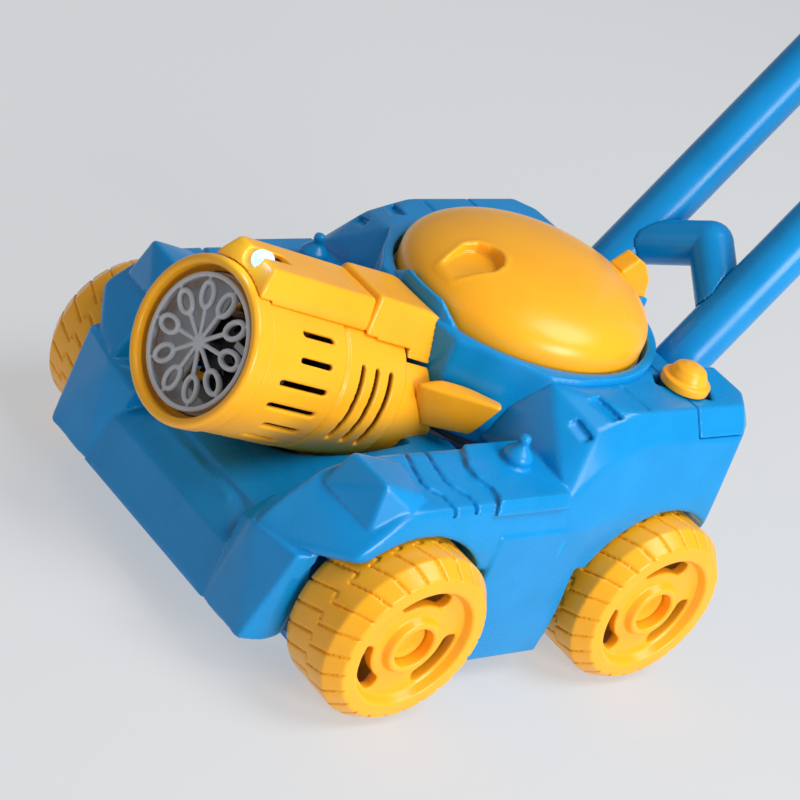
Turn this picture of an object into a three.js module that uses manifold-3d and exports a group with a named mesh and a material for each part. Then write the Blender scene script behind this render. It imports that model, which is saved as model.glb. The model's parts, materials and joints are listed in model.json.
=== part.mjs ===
// Push-along bubble machine: a toy buggy with a bubble barrel, a domed tank lid and a push handle.
// Units are millimetres. +X is the toy's own left, +Y is its rear, +Z is up, and the floor is Z = 0.
import * as THREE from 'three';
import { ConvexGeometry } from 'three/addons/geometries/ConvexGeometry.js';
import { mergeVertices } from 'three/addons/utils/BufferGeometryUtils.js';
import Module from 'manifold-3d';

const wasm = await Module();
wasm.setup();

// ---------------------------------------------------------------- sizes
const SHIFT_Y = -133.8;          // moves the middle of the whole toy onto Y = 0
const WALL = 2.4;                // moulded plastic wall
const GAP = 0.3;                 // clearance between touching pieces

const AXLE_Y = 72.8;             // axles sit this far in front of and behind the drawing origin
const WHEEL_R = 42;
const WHEEL_OUT = 122;
const WHEEL_IN = 85;
const AXLE_R = 2;

const DECK_Z = 131.6;
const SEAM_Y = 80;               // joint between the body shell and the rear deck caps
const TANK_Y = 41.5;             // centre of the round tank and its dome
const DOME_R = 60;
const DOME_Z = 138;              // widest level of the dome
const DOME_H = 23.5;

const KNOB = [72, 85];
const KNOB_TURN = 33;            // degrees, the slide of the knob away from the toy's length

const BARREL_PITCH = 15;         // degrees, nose up
const BARREL_NOSE = [0, -136.7, 117.3];
const BARREL_R = 35.5;
const WAND_TURN = -30;           // degrees, where the first bubble loop sits
const MOTOR_X = -16.8;           // the wand motor lies beside the wand gear

const TUBE_X = 33.9;
const TUBE_R = 12.2;
const TUBE_TILT = 57.3;          // degrees above the floor, leaning back
const TUBE_FOOT = [97.5, 72.5];  // Y and Z where the tube axis meets the socket floor
const TUBE_SPLIT = 250;          // length of each lower tube
const HANDLE_TOP = 548;          // height of the grip bar axis

// ---------------------------------------------------------------- colours
const BLUE = 0x0a86d6;
const YELLOW = 0xffb81e;
const GREY = 0xb9babd;
const DARK = 0x2b2d31;
const STEEL = 0xc7cad0;
const BRASS = 0xc9a44c;

const toy = new THREE.Group();
toy.name = 'bubble_mower';

// ---------------------------------------------------------------- helpers
function weld(geometry) {
  const flat = geometry.index ? geometry.toNonIndexed() : geometry;
  flat.deleteAttribute('normal');
  flat.deleteAttribute('uv');
  return mergeVertices(flat, 1e-4);
}

function solid(geometry) {
  const welded = weld(geometry);
  return new wasm.Manifold(new wasm.Mesh({
    numProp: 3,
    vertProperties: Float32Array.from(welded.attributes.position.array),
    triVerts: Uint32Array.from(welded.index.array),
  }));
}

function surface(body) {
  const data = body.simplify(0.12).getMesh();
  const geometry = new THREE.BufferGeometry();
  geometry.setAttribute('position', new THREE.BufferAttribute(Float32Array.from(data.vertProperties), 3));
  geometry.setIndex([...data.triVerts]);
  return geometry;
}

function join(parts) {
  return parts.reduce((whole, part) => whole.add(part));
}

function cut(body, tools) {
  return tools.reduce((whole, tool) => whole.subtract(tool), body);
}

function add(name, shape, colour, metal = 0, rough = 0.35) {
  const geometry = shape.isBufferGeometry ? weld(shape) : surface(shape);
  geometry.translate(0, SHIFT_Y, 0);
  geometry.computeVertexNormals();
  const material = new THREE.MeshStandardMaterial({ color: colour, metalness: metal, roughness: rough });
  const piece = new THREE.Mesh(geometry, material);
  piece.name = name;
  toy.add(piece);
}

function hull(points) {
  return new ConvexGeometry(points.map((p) => new THREE.Vector3(...p)));
}

function bothSides(points) {
  return [...points, ...points.map(([x, y, z]) => [-x, y, z])];
}

function box(x0, x1, y0, y1, z0, z1) {
  const block = new THREE.BoxGeometry(x1 - x0, y1 - y0, z1 - z0);
  block.translate((x0 + x1) / 2, (y0 + y1) / 2, (z0 + z1) / 2);
  return block;
}

function outline(points) {
  return new THREE.Shape(points.map(([a, b]) => new THREE.Vector2(a, b)));
}

// Extrudes an outline drawn in the Y-Z plane from x0 to x1.
function sideProfile(points, x0, x1) {
  const plate = new THREE.ExtrudeGeometry(outline(points), { depth: x1 - x0, bevelEnabled: false });
  plate.rotateZ(Math.PI / 2);
  plate.rotateY(Math.PI / 2);
  plate.translate(x0, 0, 0);
  return plate;
}

// Extrudes an outline drawn in the X-Y plane from z0 to z1.
function planProfile(points, z0, z1) {
  const plate = new THREE.ExtrudeGeometry(outline(points), { depth: z1 - z0, bevelEnabled: false });
  plate.translate(0, 0, z0);
  return plate;
}

// Turns a closed outline of [radius, height] points about the Y axis.
function turned(points, segments = 48) {
  const profile = points.map(([r, h]) => new THREE.Vector2(r, h));
  if (THREE.ShapeUtils.area(profile) < 0) profile.reverse();
  return new THREE.LatheGeometry([...profile, profile[0].clone()], segments);
}

// Places a shape built along +Y so that it runs from one point towards another.
function aim(geometry, from, to) {
  const start = new THREE.Vector3(...from);
  const way = new THREE.Vector3(...to).sub(start).normalize();
  const turn = new THREE.Quaternion().setFromUnitVectors(new THREE.Vector3(0, 1, 0), way);
  geometry.applyQuaternion(turn);
  geometry.translate(...from);
  return geometry;
}

function rod(radius, from, to, segments = 24) {
  const length = new THREE.Vector3(...to).distanceTo(new THREE.Vector3(...from));
  const bar = new THREE.CylinderGeometry(radius, radius, length, segments);
  bar.translate(0, length / 2, 0);
  return aim(bar, from, to);
}

function pipe(outer, inner, from, to, segments = 24) {
  const length = new THREE.Vector3(...to).distanceTo(new THREE.Vector3(...from));
  return aim(turned([[inner, 0], [outer, 0], [outer, length], [inner, length]], segments), from, to);
}

// Barrel space: X across, Y back along the barrel axis, Z away from the axis. Moves a shape into place.
function onBarrel(geometry) {
  geometry.rotateX(-THREE.MathUtils.degToRad(BARREL_PITCH));
  geometry.translate(...BARREL_NOSE);
  return geometry;
}

// ---------------------------------------------------------------- body mouldings
// Planes of a convex block, so that the same block can be drawn again with every face moved inwards.
function facePlanes(points) {
  const block = hull(points);
  const p = block.attributes.position;
  const planes = [];
  for (let i = 0; i < p.count; i += 3) {
    const [a, b, c] = [0, 1, 2].map((k) => new THREE.Vector3().fromBufferAttribute(p, i + k));
    const n = b.clone().sub(a).cross(c.clone().sub(a));
    if (n.length() > 1e-3) {
      n.normalize();
      const d = n.dot(a);
      if (!planes.some((q) => q.n.dot(n) > 0.9999 && Math.abs(q.d - d) < 0.05)) planes.push({ n, d });
    }
  }
  return planes;
}

function shrunk(points, inset) {
  const planes = facePlanes(points).map(({ n, d }) => ({ n, d: d - inset }));
  const corners = [];
  const m = new THREE.Matrix3();
  for (let i = 0; i < planes.length; i++) {
    for (let j = i + 1; j < planes.length; j++) {
      for (let k = j + 1; k < planes.length; k++) {
        const [a, b, c] = [planes[i], planes[j], planes[k]];
        m.set(a.n.x, a.n.y, a.n.z, b.n.x, b.n.y, b.n.z, c.n.x, c.n.y, c.n.z);
        if (Math.abs(m.determinant()) < 1e-4) continue;
        const v = new THREE.Vector3(a.d, b.d, c.d).applyMatrix3(m.invert());
        if (planes.every((q) => q.n.dot(v) < q.d + 1e-3)) corners.push([v.x, v.y, v.z]);
      }
    }
  }
  return corners;
}

const FENDER = [
  [58, -128, 68], [80, -121.5, 67], [97, -112, 77], [104, -108, 79], [62, -106, 97],
  [101.6, -83.6, 98.6], [66, -84, 103.4], [66, 10, 103.6], [101.6, 10, 99.5],
  [106, -80, 84], [106, 10, 84], [58, -118, 60], [58, 10, 60], [106, 10, 60], [104, -100, 74],
];
const LAMP = [
  [69.1, -98.3, 108.2], [92.6, -96.8, 108], [97.1, -100.8, 87.4], [68.3, -108.1, 92.7],
  [99.5, -83, 98.6], [70, -84, 100], [72, -72, 102.5], [94, -72, 100.5], [66, -84, 94],
];
const CHEEK = [
  [50, -128.9, 20.2], [78.9, -130.3, 21.4], [85, -121.5, 68], [58, -127, 68], [44, -120, 60],
  [83, -119.6, 22], [76, -100, 21], [40, -100, 20.2], [40, -100, 66], [87, -112, 69], [83, -112, 24],
];
const PLATE = bothSides([
  [29, -115, 57], [34, -122.5, 41.5], [44, -124.5, 39.5], [44, -129.5, 22], [29, -108, 57], [34, -112, 22],
]);
const PANEL = bothSides([
  [50, -129.4, 20], [50, -123.5, 46], [29, -113.5, 57], [52, -100, 20], [52, -100, 52], [40, -100, 60],
]);
const SILL = bothSides([
  [106, -31, 84], [106, 24, 84], [106, -30, 30], [106, 24, 44], [106, 27, 32], [104.6, 26, 13],
  [104.6, -26, 13],
]);
const TAIL = bothSides([
  [88.6, 41, DECK_Z], [88.6, 111, DECK_Z], [78, 119, DECK_Z], [90, 19, 124], [92, 3, 106],
  [97, 45, 120.4], [97, 109, 120.4], [90, 118, 121], [99, 24.5, 112.6], [102, 4, 97],
  [104, 6, 84], [106, 10, 84], [105, 101, 84], [104, 101, 96], [95, 114, 84], [94, 116, 60],
  [105, 100, 60], [106, 10, 60], [63, 9.8, DECK_Z], [57.7, 5, 122.9], [52.4, 0.1, 111.5], [47.8, -4.2, 91.3],
]);
const HOOD = bothSides([
  [62, -118, 24], [62, -110, 60], [64, -28, 85], [66, -6, 86], [66, 60, 86], [94, 113, 62],
  [60, 113, 24], [62, -30, 24],
]);

// The rear gap between the deck caps, where the handle comes down behind the tank.
const REAR_GAP = [58, 93, 104];

function mirrored(points) {
  return points.map(([x, y, z]) => [-x, y, z]);
}

// Raised pad on each fender with a moulded stud.
function padAndStud(side) {
  const pad = [[67, -31, 105.6], [67, 4, 105.8], [101.4, 5, 101.2], [102, -36, 101], [67, -31, 100],
    [67, 4, 100], [103, 5, 96], [103, -36, 96]];
  const stud = [[0, 118], [2.2, 117.4], [3.1, 115.6], [3.1, 112.5], [6.4, 108.8], [7.8, 105.6], [7.8, 100],
    [0, 100]];
  const peg = turnedAt(stud, side * 80, -12.5, 20);
  return solid(hull(pad.map(([x, y, z]) => [side * x, y, z]))).add(solid(peg));
}

function bodyBlocks(inset) {
  const blocks = [FENDER, mirrored(FENDER), CHEEK, mirrored(CHEEK), PANEL, SILL, TAIL, HOOD];
  if (inset === 0) blocks.push(LAMP, mirrored(LAMP), PLATE);
  return join(blocks.map((points) => solid(hull(inset ? shrunk(points, inset) : points))));
}

function wheelWells(radius, inner) {
  const wells = [];
  for (const side of [1, -1]) {
    for (const y of [-AXLE_Y, AXLE_Y]) {
      wells.push(solid(rod(radius, [side * inner, y, WHEEL_R], [side * 130, y, WHEEL_R], 26)));
    }
    wells.push(solid(box(Math.min(side * inner, side * 130), Math.max(side * inner, side * 130),
      -AXLE_Y - radius - 1.6, -AXLE_Y, 0, WHEEL_R + radius * 0.78)));
    wells.push(solid(box(Math.min(side * inner, side * 130), Math.max(side * inner, side * 130),
      AXLE_Y, AXLE_Y + radius + 6, 0, WHEEL_R + radius * 0.6)));
  }
  return join(wells);
}

function barrelClearance() {
  return solid(onBarrel(rod(BARREL_R + 1.2, [0, -20, 0], [0, 111, 0], 30)));
}

const COWL_PLAN = [[10, -24.6], [29.6, -21.1], [62.5, 9.6], [66.8, 24], [66.8, 44]];

// Solid outline of the cowl: straight walls in front of the tank, round behind it.
function cowlOutline(grow) {
  const foot = COWL_PLAN.map(([x, y]) => [x + grow, y - grow, 82 - grow]);
  const top = COWL_PLAN.map(([x, y]) => [x + grow, y - grow, 134]);
  const skirt = solid(hull(bothSides([...foot, ...top])));
  const ring = new THREE.CylinderGeometry(66.8 + grow, 66.8 + grow, 38.5, 36);
  ring.rotateX(Math.PI / 2);
  ring.translate(0, TANK_Y, 115.25);
  return skirt.add(solid(ring));
}

// Turns a block drawn square to the toy onto the line that the switch knob slides along.
function besideKnob(block) {
  block.translate(-KNOB[0], -KNOB[1], 0);
  block.rotateZ(-THREE.MathUtils.degToRad(KNOB_TURN));
  block.translate(KNOB[0], KNOB[1], 0);
  return solid(block);
}

function knobSlot() {
  return besideKnob(box(67.5, 76.5, 71, 99, 110, 150));
}

function makeBody() {
  const outer = cut(join([bodyBlocks(0), padAndStud(1), padAndStud(-1)]), [wheelWells(44.6, 83.5)]);
  const inner = cut(bodyBlocks(WALL), [wheelWells(44.6 + WALL, 83.5 - WALL)]);
  const belly = solid(box(-77.6, 77.6, -98, 110.5, 0, 57));
  const upperBelly = solid(box(-77.6, 77.6, -10, 110.5, 50, 93));
  const gap = solid(box(-REAR_GAP[0], REAR_GAP[0], REAR_GAP[1], 130, REAR_GAP[2], 150));
  const axles = [-AXLE_Y, AXLE_Y].map((y) => solid(rod(2.6, [-90, y, WHEEL_R], [90, y, WHEEL_R], 14)));
  let shell = cut(outer, [inner, belly, upperBelly, gap, cowlOutline(GAP), barrelClearance(), knobSlot(),
    hosePassage(), ...axles]);
  const sockets = [-1, 1].map((side) => solid(rod(TUBE_R + 3.2,
    [side * TUBE_X, TUBE_FOOT[0] - 8, TUBE_FOOT[1] - 12.5], tubePoint(side, 90), 20)));
  shell = cut(shell, sockets);
  const rear = solid(box(-130, 130, SEAM_Y, 140, 119.9, 160));
  const caps = shell.intersect(solid(box(-130, 130, SEAM_Y + GAP, 140, 119.9 + GAP, 160)));
  add('body_shell', biggest(cut(shell, [rear])), BLUE);
  const halves = caps.decompose().sort((a, b) => b.volume() - a.volume());
  const near = halves.find((part) => part.boundingBox().min[0] > 0);
  const far = halves.find((part) => part.boundingBox().max[0] < 0);
  add('deck_cap_left', near, BLUE);
  add('deck_cap_right', far, BLUE);
}

function biggest(shape) {
  return shape.decompose().sort((a, b) => b.volume() - a.volume())[0];
}

function tubePoint(side, along) {
  const a = THREE.MathUtils.degToRad(TUBE_TILT);
  return [side * TUBE_X, TUBE_FOOT[0] + along * Math.cos(a), TUBE_FOOT[1] + along * Math.sin(a)];
}

// ---------------------------------------------------------------- tank, cowl and dome lid
function turnedUp(points, segments = 32) {
  const shape = turned(points, segments);
  shape.rotateX(Math.PI / 2);
  shape.translate(0, TANK_Y, 0);
  return shape;
}

function tankBore(radius, z0, z1) {
  return solid(turnedUp([[0, z0], [radius, z0], [radius, z1], [0, z1]]));
}

function handleWells() {
  return join([-1, 1].map((side) => solid(rod(TUBE_R + 3.2, tubePoint(side, -10), tubePoint(side, 60), 20))));
}

function makeCowl() {
  const foot = COWL_PLAN.map(([x, y]) => [x - WALL, y + WALL, 78]);
  const top = COWL_PLAN.map(([x, y]) => [x - WALL, y + WALL, 124]);
  const hollow = cut(solid(hull(bothSides([...foot, ...top]))), [tankBore(59.4, 78, 130)]);
  let cowl = cowlOutline(0);
  cowl = cut(cowl, [tankBore(61.2, 126.5, 150), tankBore(57, 70, 130), hollow]);
  cowl = cut(cowl, [solid(box(-80, 80, 46, 120, 70, 104)), solid(box(-4, 4, -40, -8, 70, 90)), handleWells()]);
  const wedge = [[-26, 131], [26, 131], [26, 133], [12.5, 142.2], [-12.5, 142.2], [-26, 133]];
  const fin = solid(turnedUp([[61.2, 131], [64.2, 131], [64.2, 142.2], [61.2, 142.2]]));
  const sheet = planProfile(wedge, 0, 60);
  sheet.rotateX(Math.PI / 2);
  const tongue = fin.intersect(solid(sheet));
  const ears = [-1, 1].map((side) => solid(box(Math.min(side * 5.6, side * 8.4), Math.max(side * 5.6, side * 8.4),
    104, 118, 124, 136)));
  const pinHole = solid(rod(1.35, [-20, 113.2, 131.5], [20, 113.2, 131.5]));
  cowl = cut(join([cowl, tongue, ...ears]), [pinHole, tankBore(61.2, 126.5, 150)]);
  add('tank_cowl', biggest(cowl), BLUE);
}

function makeTank() {
  const wall = [[0, 78], [49.5, 78], [51.5, 80], [51.5, 126.9], [60.6, 126.9], [60.6, 129], [49.6, 129],
    [49.6, 81], [0, 80]];
  const port = solid(rod(2.6, [0, -20, 84], [0, 0, 84]));
  add('solution_tank', cut(solid(turnedUp(wall)), [port]), GREY);
}

function domeCurve(radius, height) {
  const curve = [];
  for (let i = 0; i <= 7; i++) {
    const a = (i / 7) * (Math.PI / 2);
    curve.push([radius * Math.sin(a), DOME_Z + height * Math.cos(a)]);
  }
  curve[0][0] = 0;
  return curve;
}

function makeDome() {
  const outer = domeCurve(DOME_R, DOME_H);
  const inner = domeCurve(DOME_R - WALL, DOME_H - WALL).reverse();
  const shell = solid(turnedUp([...outer, [DOME_R, 130], [DOME_R - WALL, 130], ...inner]));
  const pocket = [];
  const liner = [];
  for (const [x, y] of [[-5, -11], [5, -11], [11, 5], [8, 12], [0, 15.5], [-8, 12], [-11, 5]]) {
    pocket.push([x, y, 149.8 - y * 0.08], [x, y, 170]);
    liner.push([x * 1.16, y < 0 ? y - 1 : y + 2, 147.6], [x * 1.16, y < 0 ? y - 1 : y + 2, 155]);
  }
  const cap = solid(turnedUp([...outer, [DOME_R, 130], [0, 130]]));
  const lid = shell.add(solid(hull(liner)).intersect(cap)).subtract(solid(hull(pocket)));
  const slot = solid(box(-6.2, 6.2, 93, 125, 120, 145));
  add('dome_lid', biggest(cut(lid, [slot])), YELLOW);
  const arm = [[95, 144], [95.6, 149.5], [104, 156], [110, 153], [117, 144.5], [119, 136], [118.4, 129],
    [114.5, 126.4], [110.5, 128], [108.5, 135], [99, 139]];
  const knuckle = solid(sideProfile(arm, -5, 5));
  const clear = solid(turnedUp([...domeCurve(DOME_R + GAP, DOME_H + GAP), [DOME_R + GAP, 130], [0, 130]]));
  const body = cut(knuckle, [solid(rod(1.35, [-20, 113.2, 131.5], [20, 113.2, 131.5])), clear]);
  add('lid_hinge_arm', biggest(body), YELLOW);
  add('lid_hinge_pin', rod(1.1, [-9, 113.2, 131.5], [9, 113.2, 131.5], 16), STEEL, 1, 0.3);
}

// ---------------------------------------------------------------- wheels and axles
function makeWheels() {
  for (const [tag, side] of [['left', 1], ['right', -1]]) {
    for (const [end, y] of [['front', -AXLE_Y], ['rear', AXLE_Y]]) {
      const from = [side * WHEEL_IN, y, WHEEL_R];
      const to = [side * WHEEL_OUT, y, WHEEL_R];
      const tyre = [[2.3, 2], [8, 2], [8, 29], [34, 29], [36, 0], [WHEEL_R, 2], [WHEEL_R, 32], [35, 37],
        [28.6, 36.4], [27.4, 32.6], [14, 32.6], [13.2, 36.2], [9.8, 36.2], [9.8, 26], [2.3, 26]];
      add(`wheel_${end}_${tag}`, aim(turned(tyre, 24), from, to), YELLOW);
      const capFrom = [side * (WHEEL_IN + 26.4), y, WHEEL_R];
      add(`axle_cap_${end}_${tag}`, pipe(6, 1.98 + 0.12, capFrom, [side * (WHEEL_IN + 29), y, WHEEL_R], 12),
        STEEL, 1, 0.3);
    }
  }
  add('axle_front', rod(AXLE_R, [-114, -AXLE_Y, WHEEL_R], [114, -AXLE_Y, WHEEL_R], 20), STEEL, 1, 0.25);
  add('axle_rear', rod(AXLE_R, [-114, AXLE_Y, WHEEL_R], [114, AXLE_Y, WHEEL_R], 20), STEEL, 1, 0.25);
}

// ---------------------------------------------------------------- chassis and power
function makeChassis() {
  let pan = solid(box(-76.8, 76.8, -97, 109, 13, 16));
  const posts = [];
  for (const y of [-AXLE_Y, AXLE_Y]) {
    for (const side of [1, -1]) {
      posts.push(solid(box(side * 70 - 3, side * 70 + 3, y - 6, y + 6, 15, 49)));
    }
  }
  pan = join([pan, ...posts]);
  const bores = [-AXLE_Y, AXLE_Y].map((y) => solid(rod(AXLE_R + 0.15, [-90, y, WHEEL_R], [90, y, WHEEL_R], 20)));
  const hatch = solid(box(-34, 34, -31, 31, 10, 20));
  pan = cut(pan, [...bores, hatch]);
  add('chassis_pan', pan, BLUE);

  const tray = cut(solid(box(-36.5, 36.5, -33, 33, 16.3, 37)), [solid(box(-33, 33, -30.5, 30.5, 10, 34.6))]);
  add('battery_tray', tray, DARK);
  for (let i = 0; i < 4; i++) {
    const x = -24 + i * 16;
    const flip = i % 2 ? -1 : 1;
    const cell = [[0, -25], [7, -25], [7, 23.6], [2.7, 23.6], [2.7, 25], [0, 25]];
    const body = turned(cell, 14);
    if (flip < 0) body.rotateZ(Math.PI);
    body.translate(x, 0, 24.8);
    add(`battery_cell_${i + 1}`, body, i % 2 ? DARK : BRASS, 0.6, 0.4);
  }
  add('contact_strip_front', box(-31, 31, -29.6, -28.8, 18, 32), STEEL, 1, 0.3);
  add('contact_strip_rear', box(-31, 31, 28.8, 29.6, 18, 32), STEEL, 1, 0.3);
  const door = cut(solid(box(-33.6, 33.6, -30.6, 30.6, 13, 15.6)), [
    solid(rod(1.9, [0, -26.2, 10], [0, -26.2, 20], 20)), solid(rod(3.6, [0, -26.2, 10], [0, -26.2, 14.4], 20))]);
  add('battery_door', door, BLUE);
  add('door_screw', turnedAt([[0, 13.2], [3.2, 13.2], [3.2, 14.2], [1.5, 14.2], [1.5, 16], [0, 16]],
    0, -26.2, 16), STEEL, 1, 0.3);
}

function turnedAt(points, x, y, segments = 24) {
  const shape = turned(points, segments);
  shape.rotateX(Math.PI / 2);
  shape.translate(x, y, 0);
  return shape;
}

function makeControls() {
  const knob = [[0, 144.2], [4.5, 143.5], [8, 140.8], [9.2, 137.6], [11.6, 136.4], [11.6, 132.4], [3.2, 132.4],
    [3.2, 121], [0, 121]];
  add('power_knob', turnedAt(knob, ...KNOB, 24), YELLOW);
  add('switch_body', cut(besideKnob(box(65, 79, 74, 96, 112, 123)), [besideKnob(box(68, 76, 77, 93, 117, 130))]),
    DARK);
  add('control_board', box(-48, -8, 58, 92, 60, 61.6), 0x2f7d4f);
}

// ---------------------------------------------------------------- barrel
const SIDE_SLOTS = [[42, 26, 46], [60.5, 26, 46], [78.5, 17.5, 47], [96, 17.5, 47], [113.5, 25, 47], [131, 25, 45]];
const ARC_SLOTS = [66, 75.3, 84.6];

function barrelTurned(points, segments = 30) {
  return solid(onBarrel(turned(points, segments)));
}

function radialBlock(angle, s0, s1, width, r0, r1) {
  const block = box(-width / 2, width / 2, s0, s1, r0, r1);
  block.rotateY(THREE.MathUtils.degToRad(angle));
  return solid(onBarrel(block));
}

function arcSlot(s, side) {
  const sector = [[0, 0]];
  for (let a = 52; a <= 114; a += 6.2) {
    const t = THREE.MathUtils.degToRad(a);
    sector.push([side * 50 * Math.sin(t), 50 * Math.cos(t)]);
  }
  const wedge = planProfile(sector, 0, 3.4);
  wedge.rotateX(Math.PI / 2);
  wedge.translate(0, s + 1.7, 0);
  return solid(onBarrel(wedge));
}

function makeBarrel() {
  const ring = [[31, -2], [32.5, -4], [35.6, -4], [37, -2.4], [37, 6.2], [33, 6.2], [33, 11], [31, 11]];
  add('barrel_ring', barrelTurned(ring), YELLOW);

  const skin = [[33.4, 6.5], [36, 6.5], [35.8, 54], [34.6, 54.4], [34.6, 56], [35.4, 56.4], [35.2, 95],
    [32.8, 95], [32.8, 60], [33.4, 54]];
  const slots = [];
  for (const side of [1, -1]) {
    for (const [angle, s0, s1] of SIDE_SLOTS) slots.push(radialBlock(side * angle, s0, s1, 3.2, 25, 45));
    for (const s of ARC_SLOTS) slots.push(arcSlot(s, side));
  }
  add('barrel_shell', biggest(cut(barrelTurned(skin), slots)), YELLOW);

  const back = [[0, 95.3], [33.6, 95.3], [33.6, 108], [31.2, 110], [31.2, 98], [0, 98]];
  const wire = radialBlock(180, 94, 99, 7, 13, 24);
  add('barrel_collar', biggest(cut(barrelTurned(back), [cowlOutline(GAP), wire, ridgeSpace()])), YELLOW);

  const crest = bothSides([[13.2, 2, 46], [17.6, -1.5, 34.5], [17.6, 67.6, 34.5], [13.2, 67.6, 46],
    [16, -1.5, 20], [16, 67.6, 20]]);
  const bore = barrelTurned([[0, -10], [37.3, -10], [37.3, 6.8], [36.4, 6.8], [36.4, 130], [0, 130]]);
  const hollow = [[10.5, 16, 43.6], [14, 16, 36], [14, 65, 36], [10.5, 65, 43.6], [13, 16, 20], [13, 65, 20]];
  const lampSeat = solid(onBarrel(rod(4.9, [0, -20, 44.9], [0, 20, 41.8], 24)));
  const block = bothSides([[14.2, 68, 48.4], [16, 103, 48.4], [18.6, 70, 30], [21, 66, 26], [21, 108, 26],
    [17.5, 110, 44], [19, 66, 20], [19, 108, 20]]);
  const beyond = solid(onBarrel(hull(shrunk(block, -GAP))));
  const ridge = cut(solid(onBarrel(hull(crest))), [bore, beyond, solid(onBarrel(hull(bothSides(hollow)))), lampSeat]);
  add('barrel_ridge', biggest(ridge), YELLOW);

  const room = bothSides([[11.5, 72, 45.5], [13, 100, 45.5], [15, 72, 30], [15, 102, 30], [15, 72, 20],
    [15, 102, 20]]);
  const rear = cut(solid(onBarrel(hull(block))), [solid(onBarrel(hull(room))), bore, cowlOutline(GAP),
    tankBore(64.6, 130, 150)]);
  add('ridge_box', biggest(rear), YELLOW);

  for (const [tag, side] of [['left', 1], ['right', -1]]) {
    const wing = [[33, 99, 21.4], [33, 113, 2.6], [52, 124, 12.7], [59.5, 124, 32.5], [33, 108, 27.1],
      [30, 99, 20], [30, 112, 3], [54, 128, 32.5], [40, 119, 30], [46, 129, 12]];
    const fin = solid(onBarrel(hull(wing.map(([x, s, h]) => [side * x, s, h]))));
    const core = barrelTurned([[0, 80], [33.9, 80], [33.9, 130], [0, 130]]);
    add(`barrel_fin_${tag}`, biggest(cut(fin, [core, cowlOutline(GAP)])), YELLOW);
  }
  const lens = onBarrel(aim(turned([[0, 0], [4.4, 0], [4.4, 4], [3.6, 6.2], [2, 7.4], [0, 7.8]], 24),
    [0, 10, 42.6], [0, -3, 43.6]));
  add('led_lamp', lens, 0xe8f2ff, 0, 0.1);
}

// Keeps the barrel collar clear of the box that straddles it.
function ridgeSpace() {
  return solid(onBarrel(hull(bothSides([[21.4, 60, 20], [21.4, 120, 20], [21.4, 60, 60], [21.4, 120, 60]]))));
}

// ---------------------------------------------------------------- bubble maker inside the barrel
function loopRing(angle) {
  const outer = new THREE.CylinderGeometry(1, 1, 2.6, 10);
  outer.scale(4.4, 1, 6.3);
  const inner = new THREE.CylinderGeometry(1, 1, 6, 10);
  inner.scale(2.5, 1, 4.4);
  const place = (shape) => {
    shape.translate(0, 1.2, 20);
    shape.rotateY(THREE.MathUtils.degToRad(angle));
    return solid(onBarrel(shape));
  };
  return [place(outer), place(inner)];
}

function makeWand() {
  const rim = barrelTurned([[26.6, -0.6], [29.8, -0.6], [29.8, 4], [27.4, 4]], 30);
  let disc = rim.add(barrelTurned([[0, 0], [3.4, 0], [3.4, 4.4], [0, 4.4]], 20));
  const holes = [];
  for (let i = 0; i < 10; i++) {
    const angle = WAND_TURN + i * 36;
    const [outer, inner] = loopRing(angle);
    disc = disc.add(outer).add(radialBlock(angle, 0.2, 2.2, 1.7, 0, 27.2));
    holes.push(inner);
  }
  add('wand_disc', cut(disc, [...holes, barrelTurned([[0, 2.4], [1.62, 2.4], [1.62, 8], [0, 8]], 16)]), GREY);
  add('wand_shaft', barrelTurned([[0, 2.6], [1.5, 2.6], [1.5, 24], [0, 24]], 16), STEEL, 1, 0.3);
  add('wand_gear', toothed(23, 13.4, 1.62, 10.5, 12, 18, 0), DARK);
  add('motor_pinion', toothed(8, 5.2, 1.12, 3.1, 12, 18.5, MOTOR_X), DARK);
  add('wand_motor', cylAt(10, 24.5, 44, MOTOR_X, 0.9), STEEL, 0.8, 0.35);
  const plate = barrelTurned([[0, 20.5], [33, 20.5], [33, 22.5], [0, 22.5]]);
  const posts = [[0, 0, 1.8], [MOTOR_X, 0, 2.2]];
  const windows = [30, 75, 120, 210, 330].map((a) => radialBlock(a, 18, 25, 11, 8, 27));
  const bores = posts.map(([x, h, r]) => solid(onBarrel(rod(r, [x, 10, h], [x, 30, h], 20))));
  add('gear_frame', cut(plate, [...bores, ...windows]), DARK);
}

// Spur gear at distance x beside the barrel axis, between s0 and s1 along it.
function toothed(teeth, outer, bore, root, s0, s1, x) {
  const points = [];
  for (let i = 0; i < teeth; i++) {
    for (const [f, r] of [[-0.26, root], [-0.1, outer], [0.1, outer], [0.26, root]]) {
      const a = ((i + f) / teeth) * Math.PI * 2;
      points.push([r * Math.cos(a), r * Math.sin(a)]);
    }
  }
  const wheel = planProfile(points, 0, s1 - s0);
  wheel.rotateX(Math.PI / 2);
  wheel.translate(x, s1, 0);
  return onBarrelSolid(cut(solid(wheel), [solid(rod(bore, [x, s0 - 5, 0], [x, s1 + 5, 0], 20))]));
}

function onBarrelSolid(body) {
  return body.rotate([-BARREL_PITCH, 0, 0]).translate(BARREL_NOSE);
}

function cylAt(radius, s0, s1, x, shaftRadius) {
  const can = rod(radius, [x, s0, 0], [x, s1, 0], 20);
  const shaft = rod(shaftRadius, [x, 12.4, 0], [x, s0 + 1, 0], 12);
  return onBarrelSolid(solid(can).add(solid(shaft)));
}

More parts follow.
